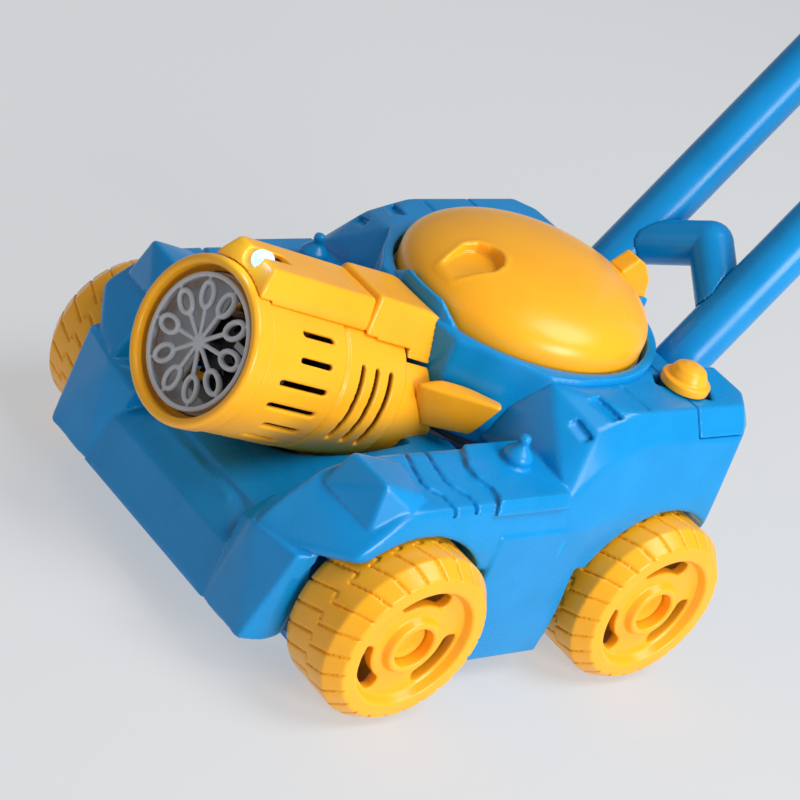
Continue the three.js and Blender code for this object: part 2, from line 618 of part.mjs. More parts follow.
function makeFan() {
  const blades = [];
  for (let i = 0; i < 7; i++) {
    const blade = box(-1, 1, -5.5, 5.5, 5, 23);
    blade.rotateZ(0.6);
    blade.rotateY((i / 7) * Math.PI * 2);
    blade.translate(0, 60, 0);
    blades.push(solid(blade));
  }
  const hub = solid(rod(7, [0, 53, 0], [0, 67, 0], 18));
  const rotor = cut(join([hub, ...blades]), [solid(rod(1.12, [0, 58, 0], [0, 80, 0], 16))]);
  add('fan_rotor', onBarrelSolid(rotor), DARK);
  const can = solid(rod(11.5, [0, 69, 0], [0, 92, 0], 20));
  const shaft = solid(rod(0.95, [0, 59, 0], [0, 70, 0], 14));
  add('fan_motor', onBarrelSolid(can.add(shaft)), STEEL, 0.8, 0.35);
  const duct = [[25, 48], [31.8, 48], [31.8, 50], [26.6, 50], [26.6, 70], [25, 70]];
  add('fan_duct', barrelTurned(duct), DARK);
  const spider = [[11.9, 74], [14, 74], [14, 84], [11.9, 84]];
  const arms = [45, 135, 225, 315].map((a) => radialBlock(a, 76, 80, 3, 13, 32.4));
  add('fan_bracket', join([barrelTurned(spider, 40), ...arms]), DARK);
}

// Distance back along the barrel and height off its axis, from the fan duct to the tank.
const HOSE_PATH = [[56, -29.6], [72, -29.6], [86, -25], [97.5, -18.8], [112, -10], [124, -2.5], [132, 0.9]];

function hosePassage() {
  return solid(onBarrel(rod(3.6, [0, 92, -22.5], [0, 134, 1.6], 16)));
}

function makeWetParts() {
  const trough = cut(barrelTurned([[20, 6.4], [30.6, 6.4], [30.6, 19.6], [20, 19.6]]),
    [barrelTurned([[22, 8], [29, 8], [29, 18], [22, 18]]), solid(onBarrel(box(-40, 40, 0, 30, -19.5, 40))),
      solid(onBarrel(box(-40, 40, 8, 18, -21.5, 40)))]);
  const guard = barrelTurned([[0, 6.4], [30.6, 6.4], [30.6, 8], [0, 8]]);
  const half = solid(onBarrel(box(-40, -2.2, 0, 20, -40, 40)));
  add('solution_tray', trough.add(guard.intersect(half)), GREY);
  add('wiper_bar', onBarrel(box(14, 28.3, 5, 6.2, 8, 11)), 0xe6e8ea);
  const circle = new THREE.Shape();
  circle.absarc(0, 0, 2.1, 0, Math.PI * 2);
  const path = new THREE.CatmullRomCurve3(HOSE_PATH.map(([s, h]) => new THREE.Vector3(0, s, h)));
  const hose = new THREE.ExtrudeGeometry(circle, { steps: 14, extrudePath: path, curveSegments: 4 });
  add('feed_hose', onBarrel(hose), 0xdde4e8);
}

// ---------------------------------------------------------------- push handle
function makeHandle() {
  const a = THREE.MathUtils.degToRad(TUBE_TILT);
  const reach = (HANDLE_TOP - TUBE_FOOT[1]) / Math.sin(a);
  const sleeves = [];
  const bores = [];
  for (const side of [1, -1]) {
    sleeves.push(solid(rod(TUBE_R + 2.6, tubePoint(side, -6), tubePoint(side, 27), 22)));
    bores.push(solid(rod(TUBE_R + 0.2, tubePoint(side, -1), tubePoint(side, 60), 20)));
  }
  const web = solid(hull(bothSides([[TUBE_X, 97, 74], [TUBE_X, 103, 70], [TUBE_X, 108, 90], [TUBE_X, 112, 84]])));
  add('handle_socket', cut(join([...sleeves, web]), bores), BLUE);
  for (const [tag, side] of [['left', 1], ['right', -1]]) {
    const lower = solid(pipe(TUBE_R, TUBE_R - 1.6, tubePoint(side, 0), tubePoint(side, TUBE_SPLIT), 18));
    const button = solid(rod(2.9, offsetPoint(side, 12, 8), offsetPoint(side, 12, 20), 20));
    const neck = solid(pipe(TUBE_R - 1.9, TUBE_R - 3.6, tubePoint(side, TUBE_SPLIT - 6),
      tubePoint(side, TUBE_SPLIT + 30), 18));
    const step = solid(pipe(TUBE_R - 0.6, TUBE_R - 3.6, tubePoint(side, TUBE_SPLIT - 6),
      tubePoint(side, TUBE_SPLIT - 2), 18));
    add(`handle_tube_${tag}`, cut(join([lower, neck, step]), [button]), BLUE);
  }
  add('handle_brace', makeBrace(), BLUE);
  add('handle_bow', makeBow(reach), BLUE);
  add('grip_sleeve', makeGrip(reach), YELLOW);
}

function offsetPoint(side, along, out) {
  const [x, y, z] = tubePoint(side, along);
  return [x + side * out, y, z];
}

function makeBrace() {
  const foot = 81;
  const peak = 105.2;
  const legs = [1, -1].map((side) => {
    const low = tubePoint(side, foot);
    const high = tubePoint(side, peak);
    high[0] = 0;
    return solid(rod(11, low, high, 20));
  });
  const apex = tubePoint(1, peak);
  const knee = new THREE.SphereGeometry(11, 16, 10);
  knee.translate(0, apex[1], apex[2]);
  const tubes = [1, -1].map((side) => solid(rod(TUBE_R + 0.2, tubePoint(side, 30), tubePoint(side, 140), 32)));
  return biggest(cut(join([...legs, solid(knee)]), tubes));
}

function bowCurve(reach) {
  const corner = 22;
  const points = [];
  for (const side of [-1, 1]) {
    const arc = [];
    for (let i = 0; i <= 4; i++) {
      const t = (i / 4) * (Math.PI / 2);
      const p = tubePoint(side, reach - corner + corner * Math.sin(t));
      p[0] = side * (TUBE_X - corner + corner * Math.cos(t));
      arc.push(p);
    }
    points.push(...(side < 0 ? arc : arc.reverse()));
  }
  return points;
}

function makeBow(reach) {
  const start = TUBE_SPLIT + GAP;
  const steps = [tubePoint(-1, start), ...bowCurve(reach), tubePoint(1, start)];
  return sweep(steps, TUBE_R, TUBE_R - 1.6, 18);
}

// Sweeps a ring along a planar run of points that lies in the plane of the handle tubes.
function sweep(points, outer, inner, segments) {
  const normal = new THREE.Vector3(0, -Math.sin(THREE.MathUtils.degToRad(TUBE_TILT)),
    Math.cos(THREE.MathUtils.degToRad(TUBE_TILT)));
  const v = points.map((p) => new THREE.Vector3(...p));
  const positions = [];
  const faces = [];
  const count = v.length;
  for (let i = 0; i < count; i++) {
    const before = i > 0 ? v[i].clone().sub(v[i - 1]).normalize() : null;
    const after = i < count - 1 ? v[i + 1].clone().sub(v[i]).normalize() : null;
    const way = (before && after ? before.clone().add(after) : before || after).clone().normalize();
    const side = new THREE.Vector3().crossVectors(way, normal);
    const stretch = before ? 1 / Math.max(0.7, way.dot(before)) : 1;
    for (const r of [outer, inner]) {
      for (let k = 0; k < segments; k++) {
        const t = (k / segments) * Math.PI * 2;
        const p = v[i].clone().addScaledVector(side, r * stretch * Math.cos(t)).addScaledVector(normal,
          r * Math.sin(t));
        positions.push(p.x, p.y, p.z);
      }
    }
  }
  const at = (i, layer, k) => (i * 2 + layer) * segments + (k % segments);
  for (let i = 0; i < count - 1; i++) {
    for (let k = 0; k < segments; k++) {
      faces.push(at(i, 0, k), at(i + 1, 0, k), at(i + 1, 0, k + 1));
      faces.push(at(i, 0, k), at(i + 1, 0, k + 1), at(i, 0, k + 1));
      faces.push(at(i, 1, k), at(i + 1, 1, k + 1), at(i + 1, 1, k));
      faces.push(at(i, 1, k), at(i, 1, k + 1), at(i + 1, 1, k + 1));
    }
  }
  for (let k = 0; k < segments; k++) {
    faces.push(at(0, 0, k), at(0, 0, k + 1), at(0, 1, k + 1));
    faces.push(at(0, 0, k), at(0, 1, k + 1), at(0, 1, k));
    const e = count - 1;
    faces.push(at(e, 0, k), at(e, 1, k + 1), at(e, 0, k + 1));
    faces.push(at(e, 0, k), at(e, 1, k), at(e, 1, k + 1));
  }
  const geometry = new THREE.BufferGeometry();
  geometry.setAttribute('position', new THREE.BufferAttribute(Float32Array.from(positions), 3));
  geometry.setIndex(faces);
  const body = new wasm.Manifold(new wasm.Mesh({ numProp: 3,
    vertProperties: Float32Array.from(positions), triVerts: Uint32Array.from(faces) }));
  if (body.volume() > 0) return body;
  const flipped = [];
  for (let i = 0; i < faces.length; i += 3) flipped.push(faces[i], faces[i + 2], faces[i + 1]);
  return new wasm.Manifold(new wasm.Mesh({ numProp: 3,
    vertProperties: Float32Array.from(positions), triVerts: Uint32Array.from(flipped) }));
}

function makeGrip(reach) {
  const apex = tubePoint(1, reach);
  return pipe(TUBE_R + 2.4, TUBE_R + 0.2, [-10.5, apex[1], apex[2]], [10.5, apex[1], apex[2]], 24);
}

makeBody();
makeCowl();
makeTank();
makeDome();
makeWheels();
makeChassis();
makeControls();
makeBarrel();
makeWand();
makeFan();
makeWetParts();
makeHandle();

export default toy;
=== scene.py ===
"""Looks for the push-along bubble machine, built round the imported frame."""
import json
import math

import bmesh
import bpy
import numpy as np
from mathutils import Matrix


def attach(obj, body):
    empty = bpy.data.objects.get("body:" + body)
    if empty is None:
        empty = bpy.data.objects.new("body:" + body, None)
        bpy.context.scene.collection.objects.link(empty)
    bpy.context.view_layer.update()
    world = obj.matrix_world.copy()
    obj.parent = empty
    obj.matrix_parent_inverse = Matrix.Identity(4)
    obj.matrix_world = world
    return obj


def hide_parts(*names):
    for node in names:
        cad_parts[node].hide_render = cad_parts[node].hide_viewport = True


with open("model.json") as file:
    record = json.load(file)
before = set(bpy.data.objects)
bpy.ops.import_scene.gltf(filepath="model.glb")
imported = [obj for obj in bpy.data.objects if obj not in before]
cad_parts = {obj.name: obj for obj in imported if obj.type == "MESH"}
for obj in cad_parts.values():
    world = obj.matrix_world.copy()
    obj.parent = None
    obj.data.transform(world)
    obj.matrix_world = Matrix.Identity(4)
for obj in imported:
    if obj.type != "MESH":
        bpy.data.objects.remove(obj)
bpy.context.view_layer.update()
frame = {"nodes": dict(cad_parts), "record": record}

import openvdb
from mathutils import Vector

# Sizes in millimetres, in the drawing frame: +X the toy's left, +Y its rear, origin between the axles.
MM = 0.001
SHIFT_Y = -133.8                 # moves a drawing point into the row frame
AXLE_Y = 72.8
WHEEL_R = 42.0
WHEEL_IN = 85.0
DECK_Z = 131.6
SEAM_Y = 80.0                    # the deck caps lie behind this
SEAM_Z = 119.9                   # and above this
SEAM_GAP = 0.35
TANK_Y = 41.5
TANK_HOLE = 60.5                 # radius of the opening in the body over the tank
COWL_R = 66.8
DOME_Z = 138.0
DOME_SIZE = (60.0, 60.0, 23.5)
LID_WALL = 2.4
LID_PIN = (113.2, 131.5)
PITCH = math.radians(15)
NOSE = (0.0, -136.7, 117.3)
WAND_TURN = -30.0
WAND_LOOPS = 10
LOOP_OUT, LOOP_HALF = 20.0, (3.4, 5.3)     # a loop's middle from the axis and its half sizes
TUBE_X = 33.9
TUBE_R = 12.2
TUBE_WALL = 1.6
TUBE_HOLE = 15.4                 # radius of the openings that the tubes pass through
TUBE_TILT = math.radians(57.3)
TUBE_FOOT = (97.5, 72.5)
TUBE_SPLIT = 250.0               # where a tube ends and the bow begins, from the foot
BOW_CORNER = 22.0
GRIP_HALF, GRIP_RIBS, GRIP_PITCH = 10.5, 7, 3.0
BRACE_R = 11.0
HANDLE_TOP = 548.0
# The way along a tube's axis from its foot to the bow's top.
REACH = (HANDLE_TOP - TUBE_FOOT[1]) / math.sin(TUBE_TILT)
KNOB_X, KNOB_Y = 72.0, 85.0
KNOB_TURN = math.radians(33)
SIDES = ((1, "left", "l"), (-1, "right", "r"))
CRUMB_SHARE = 0.3                # parts with a smaller share of the largest one's faces are left out
WELD = 1e-5                      # metres


# ---------------------------------------------------------------- distance fields
class Block:
    """A box of evenly spaced points on which signed distances are worked out, in millimetres."""

    def __init__(self, low, high, step):
        self.low = np.array(low, float)
        self.step = step
        counts = [int(math.ceil((b - a) / step)) + 1 for a, b in zip(low, high)]
        x, y, z = [(a + step * np.arange(n)).astype(np.float32) for a, n in zip(low, counts)]
        self.x, self.y, self.z = x[:, None, None], y[None, :, None], z[None, None, :]

    def points(self):
        return self.x, self.y, self.z


def smax(a, b, soft=0.0):
    """The larger of two distances, with the edge between them rounded over about soft millimetres."""
    top = np.maximum(a, b)
    if soft <= 0:
        return top
    near = np.maximum(soft - np.abs(a - b), 0)
    return top + near * near / (4 * soft)


def smin(a, b, soft=0.0):
    return -smax(-a, -b, soft)


def face_planes(points):
    bm = bmesh.new()
    for p in points:
        bm.verts.new(p)
    bmesh.ops.convex_hull(bm, input=bm.verts)
    bm.normal_update()
    middle = sum((v.co for v in bm.verts), Vector()) / len(bm.verts)
    planes = []
    for face in bm.faces:
        if face.calc_area() < 1e-3:
            continue
        n = face.normal.copy()
        d = n.dot(face.verts[0].co)
        if n.dot(middle) > d:
            n, d = -n, -d
        if not any(n.dot(m) > 0.9995 and abs(d - e) < 0.15 for m, e in planes):
            planes.append((n, d))
    bm.free()
    return planes


def hull(at, points, soft=1.6):
    """Distance to the convex block round some points, with its edges softened."""
    x, y, z = at
    field = None
    for n, d in face_planes(points):
        side = n.x * x + n.y * y + n.z * z - d
        field = side if field is None else smax(field, side, soft)
    return field


def both_sides(points):
    return [*points, *[(-x, y, z) for x, y, z in points]]


def box(at, x0, x1, y0, y1, z0, z1, soft=0.8):
    x, y, z = at
    fx = np.abs(x - (x0 + x1) / 2) - (x1 - x0) / 2
    fy = np.abs(y - (y0 + y1) / 2) - (y1 - y0) / 2
    fz = np.abs(z - (z0 + z1) / 2) - (z1 - z0) / 2
    return smax(smax(fx, fy, soft), fz, soft)


def rod(at, start, end, radius, soft=0.6):
    """Distance to a cylinder between two points."""
    a, b = np.array(start, float), np.array(end, float)
    way = (b - a) / np.linalg.norm(b - a)
    x, y, z = at
    dx, dy, dz = x - a[0], y - a[1], z - a[2]
    along = dx * way[0] + dy * way[1] + dz * way[2]
    off = np.sqrt(np.maximum(dx * dx + dy * dy + dz * dz - along * along, 0))
    half = np.linalg.norm(b - a) / 2
    return smax(off - radius, np.abs(along - half) - half, soft)


def drawn_in(points, inset):
    """A closed outline with every edge moved inwards."""
    p = np.array(points, float)
    ahead, behind = np.roll(p, -1, 0), np.roll(p, 1, 0)
    area = np.sum(p[:, 0] * ahead[:, 1] - ahead[:, 0] * p[:, 1])
    turn = 1 if area > 0 else -1

    def normal(edge):
        edge = edge / np.linalg.norm(edge, axis=1)[:, None]
        return turn * np.stack([-edge[:, 1], edge[:, 0]], 1)

    n0, n1 = normal(p - behind), normal(ahead - p)
    share = 1 + np.sum(n0 * n1, 1)
    return p + inset * (n0 + n1) / np.maximum(share, 0.35)[:, None]


def outline(u, v, points, rounding=0.0):
    """Distance in a plane to a closed outline whose outer corners are rounded."""
    p = drawn_in(points, rounding) if rounding else np.array(points, float)
    u, v = np.broadcast_arrays(u, v)
    best = np.full(u.shape, 1e9, np.float32)
    inside = np.zeros(u.shape, bool)
    for (ax, ay), (bx, by) in zip(p, np.roll(p, -1, 0)):
        ex, ey = bx - ax, by - ay
        wx, wy = u - ax, v - ay
        t = np.clip((wx * ex + wy * ey) / max(ex * ex + ey * ey, 1e-9), 0, 1)
        best = np.minimum(best, (wx - ex * t) ** 2 + (wy - ey * t) ** 2)
        if abs(ey) > 1e-9:
            crosses = ((ay > v) != (by > v)) & (u < ax + (v - ay) * ex / ey)
            inside ^= crosses
    return np.where(inside, -np.sqrt(best), np.sqrt(best)) - rounding


def slab(value, low, high):
    return np.abs(value - (low + high) / 2) - (high - low) / 2


def ellipsoid(dx, dy, dz, size):
    a = np.sqrt((dx / size[0]) ** 2 + (dy / size[1]) ** 2 + (dz / size[2]) ** 2)
    b = np.sqrt((dx / size[0] ** 2) ** 2 + (dy / size[1] ** 2) ** 2 + (dz / size[2] ** 2) ** 2)
    return a * (a - 1) / np.maximum(b, 1e-6)


def cut(field, *tools, soft=0.8):
    for tool in tools:
        field = smax(field, -tool, soft)
    return field


def skin(block, field):
    """Points and faces of the surface where the distance is zero."""
    reach = 3 * block.step
    grid = openvdb.FloatGrid(background=reach)
    grid.copyFromArray(np.ascontiguousarray(np.clip(field, -reach, reach), dtype=np.float32))
    points, triangles, quads = grid.convertToPolygons(0.0, 0.0)
    points = block.low + block.step * np.array(points, float)
    faces = [tuple(int(i) for i in f) for f in triangles] + [tuple(int(i) for i in f) for f in quads]
    return points, faces


# ---------------------------------------------------------------- pieces
def in_row(points):
    """Drawing millimetres to row metres."""
    return (np.asarray(points, float) + [0, SHIFT_Y, 0]) * MM


def off_barrel(points):
    """Barrel space (across, back along the axis, away from it) to the drawing frame."""
    p = np.asarray(points, float)
    c, s = math.cos(PITCH), math.sin(PITCH)
    return np.stack([p[:, 0] + NOSE[0], p[:, 1] * c + p[:, 2] * s + NOSE[1],
                     -p[:, 1] * s + p[:, 2] * c + NOSE[2]], 1)


def to_barrel(at):
    x, y, z = at[0] - NOSE[0], at[1] - NOSE[1], at[2] - NOSE[2]
    c, s = math.cos(PITCH), math.sin(PITCH)
    return x, y * c - z * s, y * s + z * c


def piece(name, points, faces, material, body, nodes):
    """A mesh object in the row frame, riding on a body in place of some CAD nodes."""
    mesh = bpy.data.meshes.new(name)
    mesh.from_pydata([tuple(p) for p in in_row(points)], [], faces)
    mesh.validate()
    bm = bmesh.new()
    bm.from_mesh(mesh)
    if bm.calc_volume(signed=True) < 0:
        bmesh.ops.reverse_faces(bm, faces=bm.faces)
    bm.to_mesh(mesh)
    bm.free()
    mesh.polygons.foreach_set("use_smooth", [True] * len(mesh.polygons))
    mesh.materials.append(material)
    obj = bpy.data.objects.new(name, mesh)
    bpy.context.scene.collection.objects.link(obj)
    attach(obj, body)
    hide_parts(*nodes)
    return obj


def without_crumbs(points, faces):
    """Points and faces of the connected parts that are large enough to matter."""
    parent = np.arange(len(points))

    def root(i):
        while parent[i] != i:
            parent[i] = parent[parent[i]]
            i = parent[i]
        return i

    for f in faces:
        a = root(f[0])
        for i in f[1:]:
            parent[root(i)] = a
    roots = np.array([root(f[0]) for f in faces])
    names, counts = np.unique(roots, return_counts=True)
    keep = set(names[counts >= CRUMB_SHARE * counts.max()])
    kept = [f for f, r in zip(faces, roots) if r in keep]
    used = np.unique([i for f in kept for i in f])
    new = {int(old): k for k, old in enumerate(used)}
    return points[used], [tuple(new[i] for i in f) for f in kept]


def moulded(name, block, field, material, body, nodes):
    """A piece whose surface is where a distance field is zero."""
    points, faces = without_crumbs(*skin(block, field))
    return piece(name, points, faces, material, body, nodes)


def lathe(profile, segments):
    """Points and faces of a closed outline of (radius, height) turned about Z."""
    points, faces = [], []
    count = len(profile)
    for k in range(segments):
        a = 2 * math.pi * k / segments
        for r, h in profile:
            points.append((r * math.cos(a), r * math.sin(a), h))
    for k in range(segments):
        for i in range(count):
            j, m = (i + 1) % count, (k + 1) % segments
            faces.append((k * count + i, k * count + j, m * count + j, m * count + i))
    return np.array(points), faces


def rounded(profile, radius, steps=4):
    """A closed outline whose corners are cut back by radius and rounded."""
    out = []
    for i, p in enumerate(profile):
        p = np.array(p, float)
        a = np.array(profile[i - 1], float) - p
        b = np.array(profile[(i + 1) % len(profile)], float) - p
        la, lb = np.linalg.norm(a), np.linalg.norm(b)
        r = min(radius, la * 0.45, lb * 0.45)
        if r < 1e-4 or p[0] < 1e-3:
            out.append(tuple(p))
            continue
        start, end = p + a / la * r, p + b / lb * r
        for k in range(steps + 1):
            t = k / steps
            q = (1 - t) ** 2 * start + 2 * t * (1 - t) * p + t * t * end
            out.append(tuple(q))
    return out


def aimed(points, start, end):
    """Turns points built along +Z so that they run from one point towards another."""
    way = Vector(end) - Vector(start)
    turn = np.array(Vector((0, 0, 1)).rotation_difference(way).to_matrix())
    return np.asarray(points) @ turn.T + np.array(start)


def weld(obj):
    """Joins the points that a turned outline repeats on its axis."""
    bm = bmesh.new()
    bm.from_mesh(obj.data)
    bmesh.ops.remove_doubles(bm, verts=bm.verts, dist=WELD)
    bmesh.ops.dissolve_degenerate(bm, dist=1e-6, edges=bm.edges)
    bm.to_mesh(obj.data)
    bm.free()


# ---------------------------------------------------------------- materials
def plastic(name, colour, roughness=0.34, coat=0.25, grain=0.00012, speck=0.05, edge=0.25):
    """Moulded plastic: faint orange peel, uneven gloss, a slight mottle and a painted highlight that pales
    the sharp edges.
    """
    m = bpy.data.materials.new(name)
    m.use_nodes = True
    tree = m.node_tree
    shader = tree.nodes["Principled BSDF"]
    shader.inputs["Coat Weight"].default_value = coat
    shader.inputs["Coat Roughness"].default_value = 0.18
    shader.inputs["IOR"].default_value = 1.48
    shader.inputs["Specular IOR Level"].default_value = 0.35
    place = tree.nodes.new("ShaderNodeTexCoord")

    def noise(scale, detail):
        n = tree.nodes.new("ShaderNodeTexNoise")
        n.inputs["Scale"].default_value = scale
        n.inputs["Detail"].default_value = detail
        tree.links.new(place.outputs["Object"], n.inputs["Vector"])
        return n.outputs["Fac"]

    def ramp(value, low, high, out_low, out_high):
        r = tree.nodes.new("ShaderNodeMapRange")
        for key, v in zip(("From Min", "From Max", "To Min", "To Max"), (low, high, out_low, out_high)):
            r.inputs[key].default_value = v
        tree.links.new(value, r.inputs["Value"])
        return r.outputs["Result"]

    def mix(share, a, b):
        n = tree.nodes.new("ShaderNodeMix")
        n.data_type = "RGBA"
        tree.links.new(share, n.inputs["Factor"])
        for socket, v in ((n.inputs["A"], a), (n.inputs["B"], b)):
            if isinstance(v, tuple):
                socket.default_value = (*v, 1)
            else:
                tree.links.new(v, socket)
        return n.outputs["Result"]

    darker = tuple(c * (1 - speck) for c in colour)
    lighter = tuple(min(1, c * (1 + speck) + 0.004) for c in colour)
    mottle = mix(ramp(noise(38, 3), 0.3, 0.7, 0, 1), darker, lighter)
    # Painted highlight: where the surface is sharply convex (high pointiness), the colour is mixed towards a
    # paler copy, by up to edge.
    edge_highlight_mask = tree.nodes.new("ShaderNodeNewGeometry").outputs["Pointiness"]
    edge_highlight_colour = tuple(min(1, c * 1.45 + 0.01) for c in colour)
    tree.links.new(mix(ramp(edge_highlight_mask, 0.53, 0.62, 0, edge), mottle, edge_highlight_colour), shader.inputs["Base Color"])
    gloss = ramp(noise(60, 4), 0.25, 0.75, roughness - 0.05, roughness + 0.07)
    tree.links.new(gloss, shader.inputs["Roughness"])
    bump = tree.nodes.new("ShaderNodeBump")
    bump.inputs["Distance"].default_value = grain
    bump.inputs["Strength"].default_value = 0.25
    tree.links.new(noise(900, 2), bump.inputs["Height"])
    tree.links.new(bump.outputs["Normal"], shader.inputs["Normal"])
    return m


def metal(name, colour, roughness=0.3):
    """Drawn steel: the moulded plastic's mottle, uneven gloss and fine grain, made metallic, with a weak
    painted highlight on sharp edges.
    """
    # The last argument, 0.1, is a weak painted highlight along the sharp edges.
    m = plastic(name, colour, roughness, 0.0, 0.00006, 0.08, 0.1)
    m.node_tree.nodes["Principled BSDF"].inputs["Metallic"].default_value = 1.0
    return m


# edge sets the strength of the painted highlight along sharp edges (0.25 unless given); the blue gets a
# stronger one.
BLUE = plastic("moulded_blue", (0.0, 0.25, 0.60), 0.27, coat=0.05, edge=0.5)
YELLOW = plastic("moulded_yellow", (1.0, 0.43, 0.012), 0.3, coat=0.15, speck=0.04)
GREY = plastic("moulded_grey", (0.50, 0.50, 0.51), 0.42, 0.1)
DARK = plastic("moulded_dark", (0.012, 0.012, 0.014), 0.45, 0.1)
BOARD = plastic("circuit_lacquer", (0.02, 0.16, 0.06), 0.3, 0.4)
HOSE = plastic("clear_vinyl", (0.70, 0.76, 0.78), 0.2, 0.3)
WRAP = plastic("cell_wrap", (0.03, 0.03, 0.034), 0.28, 0.4, speck=0.2)
STEEL = metal("drawn_steel", (0.56, 0.57, 0.59))
MATERIALS = {"blue_plastic": BLUE, "yellow_plastic": YELLOW, "grey_plastic": GREY, "dark_plastic": DARK,
             "circuit_board": BOARD, "clear_hose": HOSE, "cell_wrap": WRAP, "steel": STEEL, "lamp_lens": HOSE}
EDGE_BEVEL = 0.0004              # metres


def dress_nodes():
    """Gives every carried-over CAD node its procedural material and softened edges."""
    for part in frame["record"]["subparts"]:
        node = frame["nodes"][part["node"]]
        node.data.materials.clear()
        node.data.materials.append(MATERIALS[part["material_slot"]])
        bevel = node.modifiers.new("soft_edges", "BEVEL")
        bevel.width = EDGE_BEVEL
        bevel.segments = 2
        bevel.limit_method = "ANGLE"
        bevel.angle_limit = math.radians(40)
        bevel.harden_normals = False


# ---------------------------------------------------------------- body shell
# Unless a comment says otherwise, each list holds the corners of one convex block on the left,
# which both_sides repeats on the right.
FENDER = [(58, -128, 68), (80, -121.5, 67), (97, -112, 77), (104, -108, 79), (62, -106, 97),
          (101.6, -83.6, 98.6), (66, -84, 103.4), (66, 10, 103.6), (101.6, 10, 99.5),
          (106, -80, 84), (106, 10, 84), (58, -118, 60), (58, 10, 60), (106, 10, 60), (104, -100, 74)]
LAMP = [(69.1, -98.3, 108.2), (92.6, -96.8, 108), (97.1, -100.8, 87.4), (68.3, -108.1, 92.7),
        (99.5, -83, 98.6), (70, -84, 100), (72, -72, 102.5), (94, -72, 100.5), (66, -84, 94)]
CHEEK = [(50, -128.9, 20.2), (78.9, -130.3, 21.4), (85, -121.5, 68), (58, -127, 68), (44, -120, 60),
         (83, -119.6, 22), (76, -100, 21), (40, -100, 20.2), (40, -100, 66), (87, -112, 69), (83, -112, 24)]
PANEL = both_sides([(50, -129.4, 20), (50, -123.5, 46), (29, -113.5, 57), (52, -100, 20), (52, -100, 52),
                    (40, -100, 60)])
SILL = both_sides([(106, -31, 84), (106, 24, 84), (106, -30, 30), (106, 24, 44), (106, 27, 32),
                   (104.6, 26, 13), (104.6, -26, 13)])
PLATE = both_sides([(29, -115, 57), (34, -122.5, 41.5), (44, -124.5, 39.5), (44, -129.5, 22), (29, -108, 57),
                    (34, -112, 22)])
TAIL = both_sides([(88.6, 41, DECK_Z), (88.6, 111, DECK_Z), (78, 119, DECK_Z), (90, 19, 124), (92, 3, 106),
                   (97, 45, 120.4), (97, 109, 120.4), (90, 118, 121), (99, 24.5, 112.6), (102, 4, 97),
                   (104, 6, 84), (106, 10, 84), (105, 101, 84), (104, 101, 96), (95, 114, 84), (94, 116, 60),
                   (105, 100, 60), (106, 10, 60), (63, 9.8, DECK_Z), (57.7, 5, 122.9), (52.4, 0.1, 111.5),
                   (47.8, -4.2, 91.3)])
HOOD = both_sides([(62, -118, 24), (62, -110, 60), (64, -28, 85), (66, -6, 86), (66, 60, 86), (94, 113, 62),
                   (60, 113, 24), (62, -30, 24)])
PAD = [(67, -44, 105.6), (67, 4, 105.8), (102.6, 5, 101.2), (102.6, -44, 101), (67, -44, 94), (67, 4, 94),
       (105.4, 5, 94), (105.4, -44, 94)]
# Outline of the pad seen from above.
PAD_PLAN = [(60, -32), (67, -33.5), (73, -36.5), (79.5, -39.6), (86, -39), (93, -35.4), (98, -35.4),
            (104, -38.5), (110, -41), (110, 10), (60, 10)]
# Outline of the small stud on the pad, as radius and height.
STUD = [(0, 118), (2.2, 117.4), (3.0, 115.6), (2.5, 112.8), (4.0, 111.2), (6.6, 108.6), (7.1, 106.4),
        (6.4, 104.8), (6.4, 98), (0, 98)]
STUD_X, STUD_Y = 80.0, -12.5
# Middle lines of the grooves across the fender and the deck, seen from above.
GROOVES = [[(66.5, -64.4), (75.3, -66.8), (84, -68.2), (88.5, -66.8), (92.5, -62.8), (101, -60.4)],
           [(66.5, -53.2), (75, -54.6), (84, -55.2), (88.5, -53.6), (94.2, -49.2), (101, -48.4)]]
DECK_GROOVE = [(69, 48.6), (86, 49.6)]
# The four corners of each louvre.
VENTS = [[(79.5, 9.4, 121.1), (89.2, 12.1, 117.7), (90.8, 16.9, 121.6), (80.6, 14.2, 125.1)],
         [(76.2, 21.5, 130.2), (87.4, 27.2, 127.6), (88.3, 33.2, 129.6), (74.5, 28.5, 132.4)]]
# Half of the cowl's front outline seen from above, with its lower and upper edge.
COWL_PLAN = [(10, -24.6), (29.6, -21.1), (62.5, 9.6), (66.8, 24), (66.8, 44)]
COWL_Z = (60, 134)


def tube_point(side, along):
    """A point on the axis of a handle tube, some way up from its foot."""
    y = TUBE_FOOT[0] + along * math.cos(TUBE_TILT)
    return (side * TUBE_X, y, TUBE_FOOT[1] + along * math.sin(TUBE_TILT))


def cowl_block(at, grow):
    """The outside of the cowl, made larger or smaller all round."""
    x, y, z = at
    plan = both_sides([(px + grow, py - grow, pz) for px, py in COWL_PLAN for pz in COWL_Z])
    front = hull(at, plan, 1.2)
    ring = smax(np.sqrt(x * x + (y - TANK_Y) ** 2) - COWL_R - grow, slab(z, 96 - grow, 134.5), 1.2)
    return smin(front, ring, 0.5)


def polyline(u, v, points, half):
    """Distance in a plane to a band of a given half width along a broken line."""
    best = None
    for (ax, ay), (bx, by) in zip(points, points[1:]):
        ex, ey = bx - ax, by - ay
        wx, wy = u - ax, v - ay
        t = np.clip((wx * ex + wy * ey) / (ex * ex + ey * ey), 0, 1)
        d = np.sqrt((wx - ex * t) ** 2 + (wy - ey * t) ** 2) - half
        best = d if best is None else np.minimum(best, d)
    return best


